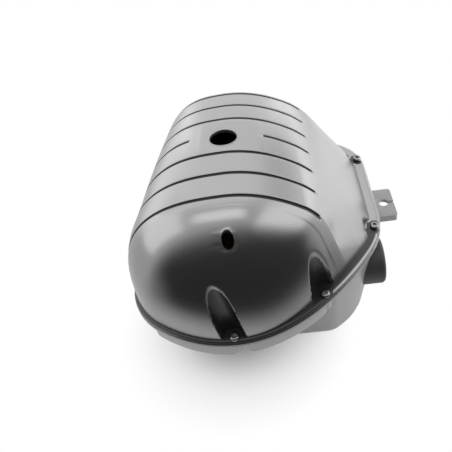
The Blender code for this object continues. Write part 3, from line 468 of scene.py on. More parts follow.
grain = bpy.data.node_groups.new("moulded_grain", "ShaderNodeTree")
for label, value in GRAIN_INPUTS.items():
    add_socket(grain, label, "INPUT").default_value = value
for label in ("Height", "Roughness", "Patches"):
    add_socket(grain, label, "OUTPUT")
grain_in, grain_out = grain.nodes.new("NodeGroupInput"), grain.nodes.new("NodeGroupOutput")
coords = add_node(grain, "TexCoord")
fine = noise(grain, coords.outputs["Object"], grain_in.outputs["Grain Scale"], 2)
patch = noise(grain, coords.outputs["Object"], grain_in.outputs["Patch Scale"], 4)
centred = math_node(grain, "SUBTRACT", patch, 0.5)
shift = math_node(grain, "MULTIPLY", centred, grain_in.outputs["Roughness Spread"])
grain.links.new(fine, grain_out.inputs["Height"])
grain.links.new(math_node(grain, "ADD", shift, grain_in.outputs["Roughness"]), grain_out.inputs["Roughness"])
grain.links.new(patch, grain_out.inputs["Patches"])
print("node group:", grain.name)

# %% [markdown]
# A material mixes two close colours by the slow patches, so no surface is one flat tone. A value on the
# points can blend in a second colour and roughness, for a second finish or for painted shade. Shine stays a
# plain number, because an exported model keeps no more than that.

# %% A material on the grain
BUMP_DISTANCE = 0.0004


def material(name, dark, light, rough, spread=0.1, grain_scale=900, bump=0.02, metal=0.0, patches=18,
             mask=None, second=None, shine=(1.5, 0.5)):
    m = bpy.data.materials.new(name)
    m.use_nodes = True
    t = m.node_tree
    shader = t.nodes["Principled BSDF"]
    set_inputs(shader, {"Metallic": metal, "IOR": shine[0], "Specular IOR Level": shine[1]})
    g = add_node(t, "Group")
    g.node_tree = grain
    set_inputs(g, dict(zip(GRAIN_INPUTS, (grain_scale, patches, rough, spread))))
    mix = add_node(t, "Mix")
    mix.data_type = "RGBA"
    set_inputs(mix, {"A": (*dark, 1), "B": (*light, 1)})
    t.links.new(g.outputs["Patches"], mix.inputs["Factor"])
    colour, roughness = mix.outputs["Result"], g.outputs["Roughness"]
    b = add_node(t, "Bump", {"Strength": bump, "Distance": BUMP_DISTANCE})
    t.links.new(g.outputs["Height"], b.inputs["Height"])
    if mask:
        where = add_node(t, "Attribute")
        where.attribute_name = mask
        both = add_node(t, "Mix")
        both.data_type = "RGBA"
        t.links.new(where.outputs["Fac"], both.inputs["Factor"])
        t.links.new(colour, both.inputs["A"])
        both.inputs["B"].default_value = (*second[0], 1)
        colour = both.outputs["Result"]
        gap = math_node(t, "SUBTRACT", second[1], roughness)
        roughness = math_node(t, "MULTIPLY_ADD", gap, where.outputs["Fac"], roughness)
    t.links.new(colour, shader.inputs["Base Color"])
    t.links.new(roughness, shader.inputs["Roughness"])
    t.links.new(b.outputs["Normal"], shader.inputs["Normal"])
    return m


print("bump distance:", BUMP_DISTANCE)

# %% [markdown]
# The cover is glossy black plastic and the case a plain grey one. Rubber is darker and duller, and metals
# have little grain. The values are two linear colours and the roughness.

# %% Materials
COVER_GRAIN = dict(rough=0.34, spread=0.10, grain_scale=1100, bump=0.04)
METAL = dict(spread=0.15, grain_scale=1500, bump=0.03, metal=1.0, patches=90)
# the second colour of the mask is the polished front, and it also paints shade into the fifth to seventh
# channel
cover_skin = material("cover_skin", (0.044, 0.044, 0.046), (0.060, 0.060, 0.063), **COVER_GRAIN,
                      mask="polish_and_shade", second=((0.016, 0.0155, 0.016), 0.24), shine=(2.4, 0.75))
# painted shade: the same plastic, darker and less shiny, for grooves and pits, which see little of the room
# and so mirror little of it
cover_painted_shade = material("cover_painted_shade", (0.010, 0.010, 0.010), (0.015, 0.015, 0.015), **COVER_GRAIN)
case_skin = material("case_skin", (0.215, 0.215, 0.221), (0.260, 0.260, 0.267), 0.36, 0.12, 900, 0.05,
                     shine=(1.8, 0.5))
boot_rubber = material("boot_rubber", (0.022, 0.022, 0.023), (0.040, 0.040, 0.041), 0.55, 0.15, 700, 0.05)
seal_rubber = material("seal_rubber", (0.020, 0.020, 0.021), (0.032, 0.032, 0.033), 0.6, 0.1, 700, 0.04)
rim_urethane = material("rim_urethane", (0.020, 0.032, 0.042), (0.034, 0.050, 0.062), 0.6, 0.1, 500, 0.06)
frame_plastic = material("frame_plastic", (0.028, 0.028, 0.029), (0.042, 0.042, 0.043), 0.48, 0.1, 900, 0.05)
filter_paper = material("filter_paper", (0.55, 0.42, 0.21), (0.68, 0.53, 0.30), 0.9, 0.05, 1600, 0.12)
screw_zinc = material("screw_zinc", (0.22, 0.22, 0.215), (0.29, 0.29, 0.285), 0.32, **METAL)
screen_steel = material("screen_steel", (0.48, 0.49, 0.50), (0.58, 0.59, 0.60), 0.38, **METAL)
insert_brass = material("insert_brass", (0.66, 0.46, 0.17), (0.76, 0.56, 0.24), 0.35, **METAL)
print("materials:", len(bpy.data.materials))

# %% [markdown]
# ## The cover
# The cover is a thin moulded shell. A modifier could thicken one skin, but the channels are deeper than the
# wall is thick, so an inner skin of its own follows the outer one at one wall thickness.

# %% Skins of the cover
COVER_WALL, OUTER_LIP, LINING_LIP, LINING_FOOT = 2.5, 0.4, 1.2, 0.35
t_fine = section_steps(95, 115)
skin = sections(*dome_rows(105, 1.6, True), t_fine)
sink, groove_painted_shade = groove_depth(skin, t_fine)
unpressed = skin - normals(skin) * sink[..., None]
skin = press_channels(unpressed, 0, OUTER_LIP)
lining = press_channels(sections(*dome_rows(30, 5, False), section_steps(34, 40)), COVER_WALL, LINING_LIP)
lining = lining - normals(lining) * COVER_WALL
lining[..., 2] = np.maximum(lining[..., 2], LINING_FOOT)
bm = bmesh.new()
polish_and_shade_layer, painted_shade_layer = (bm.verts.layers.float.new(name) for name in ("polish_and_shade", "dark"))
outer = add_mesh(bm, skin.reshape(-1, 3), grid_faces(*skin.shape[:2]))
inner = add_mesh(bm, lining.reshape(-1, 3), grid_faces(*lining.shape[:2])[:, ::-1])
skins = BVHTree.FromBMesh(bm)
print("outer skin:", skin.shape[:2], "inner skin:", lining.shape[:2])

# %% [markdown]
# The front of the dome is polished and the vault is not, so a value on each point blends the two; in the
# fifth to seventh channel the same value paints shade. A second value marks grooves and channels, whose faces
# get a darker, less shiny copy of the plastic as painted shade.

# %% Polished and dark places
POLISH_V, POLISH_SLOPE, POLISH_FADE, FLANK_FADE = 64, 0.85, 14, 8
PRESSED_FROM, PRESSED_RUN, PRESSED_SHARE, SOFT_FROM = 0.7, 2.5, 0.85, 4
pressed = smooth((np.linalg.norm(skin - unpressed, axis=2) - PRESSED_FROM) / PRESSED_RUN)
# painted shade: the fifth to seventh channel are darkened by the polish blend alone, which has a softer edge
# than a change of faces
nearest = np.linalg.norm(skin[..., None, :2] - np.array(screws), axis=3).argmin(axis=2)
soft = pressed * (nearest >= SOFT_FROM)
painted_shade_places = np.maximum(groove_painted_shade, PRESSED_SHARE * (pressed - soft))
# the polish ends at the dome's shoulder, and on the flank along a line from the crease to the third screw
past_crease = skin[..., 0] - CREASE_U
polish_end = POLISH_V + POLISH_SLOPE * np.maximum(past_crease, 0)
polish_fade = POLISH_FADE - FLANK_FADE * smooth((past_crease + 6) / 14)
polish_and_shade = np.maximum(smooth((polish_end - skin[..., 1]) / polish_fade), soft)
for shine, dark, vert in zip(polish_and_shade.ravel(), painted_shade_places.ravel(), outer):
    vert[polish_and_shade_layer] = float(shine)
    vert[painted_shade_layer] = float(dark)
print("polished points:", (polish_and_shade > 0.5).sum(), "dark points:", (painted_shade_places > 0.5).sum())

# %% [markdown]
# To open a round hole in a grid, the points inside the circle are taken out and the open edge is drawn onto
# it. A turned lip that follows the skin then closes the cut edge.

# %% Holes
TOP_HOLE, TOP_HOLE_U, TOP_HOLE_V = 12.5, 10, 146
FRONT_HOLE, FRONT_HOLE_V = 5, 35
HOLE_GAP, HOLE_REACH, LIP_STEPS = 0.0003, 0.012, 96
# mm out from the hole's edge, and up from the skin
LIP = [(1.6, -0.2), (1.2, 0.12), (0.6, 0.3), (0.15, 0.12), (0, -0.3), (0, -COVER_WALL - 0.4)]


def open_hole(bm, centre, axis, radius):
    def split(vert):
        d = vert.co - centre
        along = axis * d.dot(axis)
        return along, d - along

    for vert_set in (outer, inner):
        parts = [(vert, *split(vert)) for vert in vert_set if vert.is_valid]
        doomed = [vert for vert, along, flat in parts if along.length < HOLE_REACH and flat.length < radius]
        bmesh.ops.delete(bm, geom=doomed, context="VERTS")
    for e in [e for e in bm.edges if len(e.link_faces) == 1]:
        for vert in e.verts:
            along, flat = split(vert)
            if along.length < HOLE_REACH and flat.length < radius * 1.6:
                vert.co = centre + along + flat.normalized() * radius


def hole_lip(bm, centre, axis, radius):
    side = axis.orthogonal().normalized()
    other = axis.cross(side)
    rings = []
    for dr, dz in LIP:
        ring = []
        for a in full_turn(LIP_STEPS):
            out = side * cos(a) + other * sin(a)
            probe = centre + out * (radius + dr / 1000 + HOLE_GAP) + axis * 0.03
            hit = skins.ray_cast(probe, -axis, 0.06)[0] or centre
            rise = (hit - centre).dot(axis) + dz / 1000
            ring.append(bm.verts.new(centre + out * (radius + dr / 1000) + axis * rise))
        rings.append(ring)
    bridge(bm, rings)
    return [vert for ring in rings for vert in ring]


turn_at = acos(1 - (FRONT_HOLE_V - LEFT_INSET) / NOSE)
front_centre = Vector(place((TOP_HOLE_U, FRONT_HOLE_V, CROWN * sin(turn_at) + FOOT_Z)))
top_centre = Vector(place((TOP_HOLE_U, TOP_HOLE_V, ridge(np.array(TOP_HOLE_V)) + FOOT_Z)))
upright = Vector((0, 0, 1))
for centre, radius, shine in ((top_centre, TOP_HOLE, 0.0), (front_centre, FRONT_HOLE, 1.0)):
    for vert in hole_lip(bm, centre, upright, radius / 1000):
        vert[polish_and_shade_layer] = shine
    open_hole(bm, centre, upright, radius / 1000 + HOLE_GAP)
print("holes:", 2 * TOP_HOLE, "and", 2 * FRONT_HOLE, "mm across")

# %% [markdown]
# The flange is a ring swept along the outline, with two fine steps on its edge. Around the screws, and in
# front under the dome's foot, it lies in shade, so faces there get the darker copy of the plastic as painted
# shade.

# %% Flange
RIM_WALL, STEP_ROWS, FOOT_SHADE, PIT, DARK_FROM = 1.8, (4, 5, 6, 8, 9, 10), 3, 0.0085, 0.55
# mm in from the outline, and up
RIM = [(0.5, 0.3), (0.1, 0.4), (0, 0.7), (0, 1.5), (0.15, 1.75), (0.5, 1.85), (0.6, 2.0), (0.75, 2.6),
       (1.0, 2.95), (1.45, 3.05), (1.6, 3.2), (1.9, 3.7), (2.5, 4.15), (3.6, 4.4), (5.5, 4.5), (7, 4.5),
       (8.5, 4.5), (10.5, 4.5), (13, 4.5), (21, 4.5), (21, 0.3), (0.5, 0.3)]
flange = sweep(bm, [at_height(inset(outline, d), z) for d, z in RIM])
seats = place([(s[0], s[1], 0) for s in screws])
for k, vert in enumerate(flange):
    # the shade runs from the seventh screw round to the third
    row = k // len(outline)
    front = vert.co.y < seats[6 if vert.co.x < 0 else 2][1]
    pit = np.hypot(*(seats[:, :2] - vert.co.xy).T).min() < PIT and RIM[row][0] > RIM_WALL
    shade_from = RIM_WALL if vert.co.x < seats[1][0] else FOOT_SHADE
    vert[polish_and_shade_layer] = float(front)
    # painted shade in pits round the screws, and in front on the steps and under the dome's foot
    vert[painted_shade_layer] = float(pit or (front and (row in STEP_ROWS or RIM[row][0] > shade_from)))
# faces marked mostly dark take the second material, the darker copy of the plastic that paints shade
for f in bm.faces:
    f.material_index = int(sum(vert[painted_shade_layer] for vert in f.verts) / len(f.verts) > DARK_FROM)
bm.verts.layers.float.remove(painted_shade_layer)
finish_piece("cover_shell", bm, "cover", ["upper_cover"],
             [cover_skin, cover_painted_shade], 50, False)

# %% [markdown]
# ## Cover screws
# All cover screws are alike, so one is enough: a turned shank and pan head with a hexagonal recess.

# %% One screw
# radius and height in mm, from the tip to the top of the head
SCREW = [(1.6, -9.4), (2.25, -8.6), (2.25, 0.1), (4.0, 0.12), (4.25, 0.4), (4.25, 1.9), (4.0, 2.7),
         (3.3, 3.25), (2.9, 3.38), (2.45, 3.4)]
SCREW_STEPS, HEX_SIZE, HEX_DEPTH, HEX_TAPER = 48, 1.95, 1.8, 0.96


def screw_ring(bm, radii, z, taper=1):
    return [bm.verts.new((r * cos(a) / 1000 * taper, r * sin(a) / 1000 * taper, z / 1000))
            for r, a in zip(radii, full_turn(SCREW_STEPS))]


bm = bmesh.new()
rings = [screw_ring(bm, [r] * SCREW_STEPS, z) for r, z in SCREW]
bridge(bm, rings)
bm.faces.new(rings[0][::-1])
half = pi / 6
hexagon = [HEX_SIZE / cos((a + half) % (2 * half) - half) for a in full_turn(SCREW_STEPS)]
top = SCREW[-1][1]
rings = [rings[-1], screw_ring(bm, hexagon, top), screw_ring(bm, hexagon, top - HEX_DEPTH, HEX_TAPER)]
bridge(bm, rings)
bm.faces.new(rings[-1])
screw = mesh_object("screw_head", bm, 40)
print("triangles of one screw:", triangles(screw.data))

# %% [markdown]
# Geometry Nodes put an instance of the screw on each of the seven seats. The instances are then made real,
# because the finished piece has to be one mesh.

# %% Screws on their seats
SEAT_Z = FLANGE_TOP + 0.2


def point_object(name, points, faces=()):
    me = bpy.data.meshes.new(name)
    me.from_pydata(np.array(points).tolist(), [], np.array(faces).tolist())
    return add_object(name, me)


cover_screws = point_object("cover_screws", place([(*spot, SEAT_Z) for spot in screws]))
tree = bpy.data.node_groups.new("cover_screws_tree", "GeometryNodeTree")
add_socket(tree, "Geometry", "INPUT", "Geometry")
size = add_socket(tree, "Part Size", "INPUT")
size.default_value = 1.0
add_socket(tree, "Geometry", "OUTPUT", "Geometry")
inp, out = tree.nodes.new("NodeGroupInput"), tree.nodes.new("NodeGroupOutput")
kinds = ("ObjectInfo", "InstanceOnPoints", "RealizeInstances", "SetMaterial")
info, spread, real, zinc = (tree.nodes.new("GeometryNode" + kind) for kind in kinds)
info.inputs["Object"].default_value = screw
zinc.inputs["Material"].default_value = screw_zinc
for a, output, b, socket in ((inp, "Geometry", spread, "Points"), (info, "Geometry", spread, "Instance"),
                             (inp, "Part Size", spread, "Scale"), (spread, "Instances", real, "Geometry"),
                             (real, "Geometry", zinc, "Geometry"), (zinc, "Geometry", out, "Geometry")):
    tree.links.new(a.outputs[output], b.inputs[socket])
mod = cover_screws.modifiers.new("instances", "NODES")
mod.node_group = tree
mod[size.identifier] = 1.0
graph = bpy.context.evaluated_depsgraph_get()
done = bpy.data.meshes.new_from_object(cover_screws.evaluated_get(graph))
cover_screws.modifiers.clear()
cover_screws.data = done
bpy.data.objects.remove(screw, do_unlink=True)
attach(cover_screws, "cover")
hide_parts(*["cover_screw_%d" % k for k in range(1, 8)])
print("cover_screws triangles:", triangles(done), "materials:", [m.name for m in done.materials if m])

# %% [markdown]
# ## Lower case
# The light case is built from the same outline: a deck with the filter window, a skirt in front with a notch
# under the middle screw, and a deep tub behind it. A triangulation fills the deck, which needs no boolean.

# %% Deck
WINDOW, WINDOW_ROUND = (-46, 80, 70, 218), 10
DECK, DECK_EDGE, SCREW_HOLE, EAR_HOLE = 3, 0.7, 3.35, 2.1


def rounded_box(grow, count=14):
    low_u, high_u, low_v, high_v = WINDOW
    r = max(WINDOW_ROUND + grow, 2)
    left, right = low_u - grow + r, high_u + grow - r
    front, back = low_v - grow + r, high_v + grow - r
    corners = ((right, front, -90), (right, back, 0), (left, back, 90), (left, front, 180))
    return np.vstack([arc(u, v, r, radians(a), radians(a + 90), count) for u, v, a in corners])


def circle(u, v, radius, count=32):
    return arc(u, v, radius, 0, 2 * pi, count + 1)[:-1]


def edge_loops(loop, z_low, z_high, edge):
    # a wall along the loop with both edges rounded
    e = edge * 0.3
    steps = [(edge, z_low), (e, z_low + e), (0, z_low + edge),
             (0, z_high - edge), (e, z_high - e), (edge, z_high)]
    return [at_height(inset(loop, d), z) for d, z in steps]


def plate(bm, outer_loop, holes, z_low, z_high, edge):
    # a flat plate with a rounded outer edge and plain holes
    loops = [inset(outer_loop, edge)] + holes
    flat, edges = [], []
    for loop in loops:
        n, k = len(loop), len(flat)
        flat += [Vector(p) for p in loop]
        edges += [(k + i, k + (i + 1) % n) for i in range(n)]
    verts, _, faces, *_ = delaunay_2d_cdt(flat, edges, [], 1, 1e-6)
    spots = np.array([tuple(p) for p in verts])

    def kept(face):
        # a spot of the plate has an odd number of edges on its right
        u, v = spots[list(face)].mean(0)
        with np.errstate(divide="ignore", invalid="ignore"):
            cut = a[:, 0] + (v - a[:, 1]) / (b[:, 1] - a[:, 1]) * (b[:, 0] - a[:, 0])
        return np.count_nonzero(((a[:, 1] > v) != (b[:, 1] > v)) & (u < cut)) % 2 == 1

    a, b = np.vstack(loops), np.vstack([np.roll(loop, -1, 0) for loop in loops])
    faces = [f for f in faces if kept(f)]
    for z, flip in ((z_high, False), (z_low, True)):
        add_mesh(bm, np.c_[spots, np.full(len(spots), z)], [f[::-1] if flip else f for f in faces])
    sweep(bm, edge_loops(outer_loop, z_low, z_high, edge))
    for h in holes:
        sweep(bm, [at_height(h, z_high), at_height(h, z_low)])


frame_ears = [(-61, 95), (-61, 165), (95, 105), (95, 185)]
bm = bmesh.new()
holes = [rounded_box(0)] + [circle(*spot, SCREW_HOLE) for spot in screws]
holes += [circle(*spot, EAR_HOLE, 16) for spot in frame_ears]
plate(bm, outline, holes, -DECK, 0, DECK_EDGE)
print("deck faces:", len(bm.faces), "holes:", len(holes))

# %% [markdown]
# The tub's plan is the outline cut straight in front and on the left, with its corners rounded by averaging
# points. Towards the floor the front right corner swells and the right wall draws in.

# %% Tub
TUB, TUB_FRONT, TUB_LEFT = 2.5, 43, -60
SWELL_U, SWELL_RUN, SWELL = 108, 20, 1.5
DRAFT, DRAFT_END, DRAFT_FADE = 6, 0.65, 4.4


def clip(points, k, limit):
    n = len(points)
    kept = []
    for i in range(n):
        a, b = points[i], points[(i + 1) % n]
        if a[k] > limit:
            kept.append(a)
        if (a[k] - limit) * (b[k] - limit) < 0:
            kept.append(a + (b - a) * (limit - a[k]) / (b[k] - a[k]))
    return np.array(kept)


def tub_loop(d, z):
    ring = clip(clip(inset(flange_outline(1.0), d), 1, TUB_FRONT + d - TUB), 0, TUB_LEFT + d - TUB)
    ring = even_points(ring, count=720)
    rounded = sum(np.roll(ring, k, 0) for k in range(-5, 6)) / 11
    u, v = even_points(rounded, count=420).T
    near = (u - SWELL_U) / SWELL_RUN
    out = np.where((np.abs(near) < 1) & (v < BACK / 2), SWELL + SWELL * np.cos(pi * near), 0)
    drawn = smooth(near - 0.5) * (1 - smooth((v / BACK - DRAFT_END) * DRAFT_FADE))
    push = (out - DRAFT * drawn) * min(-z / CASE_DEPTH, 1)
    turn = pi / 2 * smooth(v / RIGHT_EDGE)
    return np.c_[u + push * np.sin(turn), v - push * np.cos(turn), np.full_like(u, z)]


# mm in from the outline, and up: the outer wall down to the floor, then the inner one from its floor
shape = [(TUB, -2.9), (TUB + 0.1, -10)]
shape += [(TUB + 0.1 + 0.6 * k / 18, -10 - 2.7 * k) for k in range(1, 19)]
shape += [(TUB + 1.1, -61.2), (TUB + 2.0, -63.2), (TUB + 3.6, -64.5), (TUB + 5.5, -65)]
tub_verts = sweep(bm, [tub_loop(d, z) for d, z in shape], (False, True))
shape = [(TUB + 8, -62), (TUB + 3.8, -60.5)]
shape += [(TUB + 3.6 - 0.6 * k / 20, -58 + 2.75 * k) for k in range(21)]
tub_verts += sweep(bm, [tub_loop(d, z) for d, z in shape], (True, False))
print("tub points:", len(tub_verts))

# %% [markdown]
# The boot and the drain plug pass through the tub's wall. The boot's collar hides its cut edge, and the edge
# of the drain hole is drawn onto a circle and lined.

# %% Openings of the tub
BOOT_V, BOOT_Z, BOOT_CUT = 106, -36, 0.0212
DRAIN_U, DRAIN_Z, DRAIN_RADIUS, DRAIN_CUT = 20, -52, 5.4, 0.006
boot_centre, drain_centre = Vector(place((0, BOOT_V, BOOT_Z))), Vector(place((DRAIN_U, 0, DRAIN_Z)))
doomed = [v for v in tub_verts if v.co.x > 0.06 and hypot(*(v.co - boot_centre).yz) < BOOT_CUT]
drain = [v for v in tub_verts if v.co.y > 0.1 and hypot(*(v.co - drain_centre).xz) < DRAIN_CUT]
near_drain = {o for v in drain for f in v.link_faces for o in f.verts} - set(drain)
print("points taken out:", len(doomed), "and", len(drain))
bmesh.ops.delete(bm, geom=doomed + drain, context="VERTS")
for v in near_drain:
    flat = (v.co - drain_centre).xz.normalized() * (DRAIN_RADIUS / 1000)
    v.co.x, v.co.z = drain_centre.x + flat.x, drain_centre.z + flat.y
back = BACK - TUB - 0.6
ring = circle(DRAIN_U, DRAIN_Z, DRAIN_RADIUS, 48)
sweep(bm, [np.c_[ring[:, 0], np.full(len(ring), v), ring[:, 1]] for v in (back - 3.1, back)])

# %% [markdown]
# Thin walls stiffen a moulded case below its deck. In front that is a skirt in two parts with rounded ends,
# and under each screw a round boss holds the thread.

# %% Skirt and bosses
SKIRT_DEPTH, SKIRT_ROUND, SKIRT_OUT, SKIRT_IN = 17, 5, 1.5, 4.0
# left end, right end, and which of them are rounded
SKIRTS = [(-76, -1.5, (False, True)), (11.5, 84, (True, True))]
# radius and height of a boss in mm
BOSS = [(5.3, -2.5), (5.2, -11.2), (4.9, -11.8), (4.4, -12)]


def skirt(bm, u0, u1, round_ends):
    u = np.linspace(u0, u1, 90)

    def front(d):
        line = inset(edge, d)
        line = line[line[:, 1] < 90]
        return np.interp(u, *line[np.argsort(line[:, 0])].T)

    s = np.minimum(np.where(round_ends[0], u - u0, 99), np.where(round_ends[1], u1 - u, 99))
    s = np.clip(s, 0, SKIRT_ROUND)
    depth = SKIRT_DEPTH - SKIRT_ROUND + np.sqrt(SKIRT_ROUND ** 2 - (SKIRT_ROUND - s) ** 2)
    loops = []
    for x, d, a, b in zip(u, depth, front(SKIRT_OUT), front(SKIRT_IN)):
        section = [(a, -1.5), (a + 0.15, -d + 0.9), (a + 0.35, -d + 0.3), (a + 0.8, -d), (b - 0.7, -d),
                   (b - 0.2, -d + 0.4), (b, -1.5)]
        loops.append([(x, *p) for p in section])
    sweep(bm, loops, (True, True))


for ends in SKIRTS:
    skirt(bm, *ends)
for spot in screws + frame_ears:
    sweep(bm, [at_height(circle(*spot, r, 40), z) for r, z in BOSS], (False, True))
print("case faces:", len(bm.faces))

# %% [markdown]
# The box hangs on a slotted tab on the right, stiffened by two ribs, and on a lug at the back.

# %% Tab and lug
TAB_FRONT, TAB_BACK, TAB_IN, TAB_OUT, TAB_ROUND = 131, 171, 146, 168.5, 3
KEY_U, KEY_RADIUS, SLIT = 158.3, 4.5, 1.6
mid, open_angle = (TAB_FRONT + TAB_BACK) / 2, asin(SLIT / KEY_RADIUS)
key = arc(KEY_U, mid, KEY_RADIUS, open_angle, 2 * pi - open_angle, 28)
round_u = TAB_OUT - TAB_ROUND
front_round = arc(round_u, TAB_FRONT + TAB_ROUND, TAB_ROUND, -pi / 2, 0, 8)
back_round = arc(round_u, TAB_BACK - TAB_ROUND, TAB_ROUND, 0, pi / 2, 8)
tab = np.vstack([[(TAB_IN, TAB_FRONT)], front_round, [(TAB_OUT, mid - SLIT)], key[::-1],
                 [(TAB_OUT, mid + SLIT)], back_round, [(TAB_IN, TAB_BACK)]])


def slab(bm, loop, z_low, z_high, edge):
    sweep(bm, edge_loops(np.array(loop, float), z_low, z_high, edge), (True, True))


slab(bm, tab, -4, -0.2, 0.4)
slab(bm, [(147, 131.4), (167.5, 131.4), (167.5, 134), (147, 134)], -8, -2, 0.3)
slab(bm, [(147, 168.6), (160, 168.6), (160, 170.6), (147, 170.6)], -7, -2, 0.3)
lug = np.array([(15, 257), (45, 257), (45, 262), (39, 282), (21, 282), (15, 262)], float)
plate(bm, lug, [circle(30, 272, 3.5)], -4, -0.2, 0.4)
finish_piece("case_shell", bm, "case", ["lower_case"], [case_skin], 32)

# %% [markdown]
# ## Rubber pieces
# The boot and the drain plug are turned forms with rounded lips, and the seal is a bead swept along the
# outline. A bevelled cylinder would round all its edges alike, so each has a profile of points.

# %% Boot, seal and plug
BOOT_U, PLUG_V = 106, 253.5


def lathe(centre, axis, profile, steps):
    # rings around the axis, from points of distance along it and radius
    axis, base = Vector(axis), Vector(centre)
    side = axis.orthogonal().normalized()
    other = axis.cross(side)
    spokes = [side * cos(a) + other * sin(a) for a in full_turn(steps)]
    return [[tuple(base + axis * along + spoke * r) for spoke in spokes] for along, r in profile]


bm = bmesh.new()
profile = [(0, 20), (0, 24.6), (0.6, 25.2), (3.4, 25.2), (4, 24.6), (4.4, 24)]
profile += [(8 + 2 * k, 24) for k in range(14)]
lip = [(38.5 + 4 * sin(a), 24 - 3.2 * (1 - cos(a))) for a in np.linspace(0, pi / 2, 9)]
profile += lip + [(42.5, 20.6), (42.2, 20.2)] + [(41.5 - 4 * k, 20) for k in range(10)] + [(0, 20)]
sweep(bm, lathe((BOOT_U, BOOT_V, BOOT_Z), (1, 0, 0), profile, 96))
finish_piece("boot", bm, "case", ["outlet_boot"], [boot_rubber], 50)
bm = bmesh.new()
bead = [(12.5 + 1.5 * cos(a), -0.6 + 0.8 * sin(a)) for a in np.linspace(0, 2 * pi, 13)]
sweep(bm, [at_height(inset(outline, d), z) for d, z in bead])
finish_piece("seal_cord", bm, "case", ["case_seal"], [seal_rubber], 60)
bm = bmesh.new()
profile = [(0, 2.0), (0.4, 3.9), (1.5, 5.1), (6.2, 5.1), (6.3, 7.9), (6.8, 8.5), (9.3, 8.5), (10.0, 8.1),
           (10.3, 7.4), (10.3, 3.2), (9.4, 2.6), (9.4, 1.0)]
sweep(bm, lathe((DRAIN_U, PLUG_V, DRAIN_Z), (0, 1, 0), profile, 64), (True, True))
finish_piece("plug", bm, "drain", ["drain_plug"], [boot_rubber], 40)

# %% [markdown]
# ## Filter
# The panel filter shows when the cover is lifted: a soft moulded rim, folded paper, and steel screens held
# down by a plastic frame. The rim is one profile swept around the window.

# %% Rim
bm = bmesh.new()
# mm out from the window, and up
shape = [(-3.6, -25.6), (-3.2, -26), (-1.0, -26), (-0.6, -25.6), (-0.6, 0.2), (0.2, 0.35), (8.4, 0.35),
         (8.9, 0.8), (9.0, 1.5), (9.0, 2.6), (8.6, 3.0), (9.0, 3.4), (9.0, 5.2), (8.7, 5.8), (8.0, 6.0),
         (-3.2, 6.0), (-3.6, 5.6), (-3.6, -25.6)]
sweep(bm, [at_height(rounded_box(g), z) for g, z in shape])
finish_piece("rim", bm, "filter", ["filter_rim"], [rim_urethane], 40)

# %% [markdown]
# The paper runs up and down in 36 folds. It is thicker than a real sheet, so that it is one closed piece.

# %% Pleats
PLEATS, FOLD_STEPS, SHEET, FOLD_BEND = 36, 12, 0.8, 0.035
PLEAT_LOW, PLEAT_HIGH, SIDE_GAP, END_GAP, COLUMNS = -24.4, 4.4, 4, 4.6, 4
low_u, high_u, low_v, high_v = WINDOW
steps = np.linspace(0, PLEATS, PLEATS * FOLD_STEPS + 1)
wave = np.abs(steps % 1 * 2 - 1)
wave = wave - FOLD_BEND * np.sin(wave * pi * 2)
start_v, end_v, height = low_v + END_GAP, high_v - END_GAP, PLEAT_HIGH - PLEAT_LOW
line_v = start_v + (end_v - start_v) * steps / PLEATS
upper, under = PLEAT_LOW + height * wave, PLEAT_LOW + (height - SHEET) * wave - SHEET * 0.4
under = np.minimum(under, upper - SHEET)
round_v, round_z = np.r_[line_v, line_v[::-1]], np.r_[upper, under[::-1]]
columns = np.linspace(low_u + SIDE_GAP, high_u - SIDE_GAP, COLUMNS)
loops = [np.c_[np.full_like(round_v, u), round_v, round_z] for u in columns]
bm = bmesh.new()
n = len(line_v)
verts = add_mesh(bm, np.vstack(loops), grid_faces(COLUMNS, 2 * n, True))
for ring, flip in ((verts[:2 * n], True), (verts[-2 * n:], False)):
    for k in range(n - 1):
        quad = [ring[k], ring[k + 1], ring[2 * n - 2 - k], ring[2 * n - 1 - k]]
        bm.faces.new(quad[::-1] if flip else quad)
finish_piece("pleats", bm, "filter", ["filter_pleats"], [filter_paper], 50)

# %% [markdown]
# ## Carried-over solids
# The frame, its screws, the screens and the inserts already have the right shape, so they only get a finish.

# %% Finishes on the solids
def paint(node, material):
    ob = bpy.data.objects[node]
    if ob.material_slots:
        for s in ob.material_slots:
            s.material = material
    else:
        ob.data.materials.append(material)


paint("filter_frame", frame_plastic)
for k in range(1, 5):
    paint("frame_screw_%d" % k, screw_zinc)
for k in range(1, 8):
    paint("screw_insert_%d" % k, insert_brass)
for end in ("top", "bottom"):
    paint("filter_screen_" + end, screen_steel)
print("solids with a finish:", 1 + 4 + 7 + 2)

# %% [markdown]
# ## Floor
# The housing stands on white paper: a pale diffuse sheet that keeps the soft shadow in front of the case.
# Away from it the sheet is plain white to the eye and to mirrors, and so adds no light to the object.

# %% Floor
WHITE_CENTRE, WHITE_FROM, WHITE_TO = (-0.035, -0.077, 0), 0.036, 0.122
FLOOR_SIZE, FLOOR_Z, PAPER = 4, -0.0006, 0.95


def seen_by_eye(tree):
    # 1 for rays from the camera, by way of a mirror or not, and 0 for light that falls on things
    path = add_node(tree, "LightPath")
    seen = math_node(tree, "MAXIMUM", path.outputs["Is Camera Ray"], path.outputs["Is Transmission Ray"])
    return math_node(tree, "MAXIMUM", seen, path.outputs["Is Glossy Ray"])


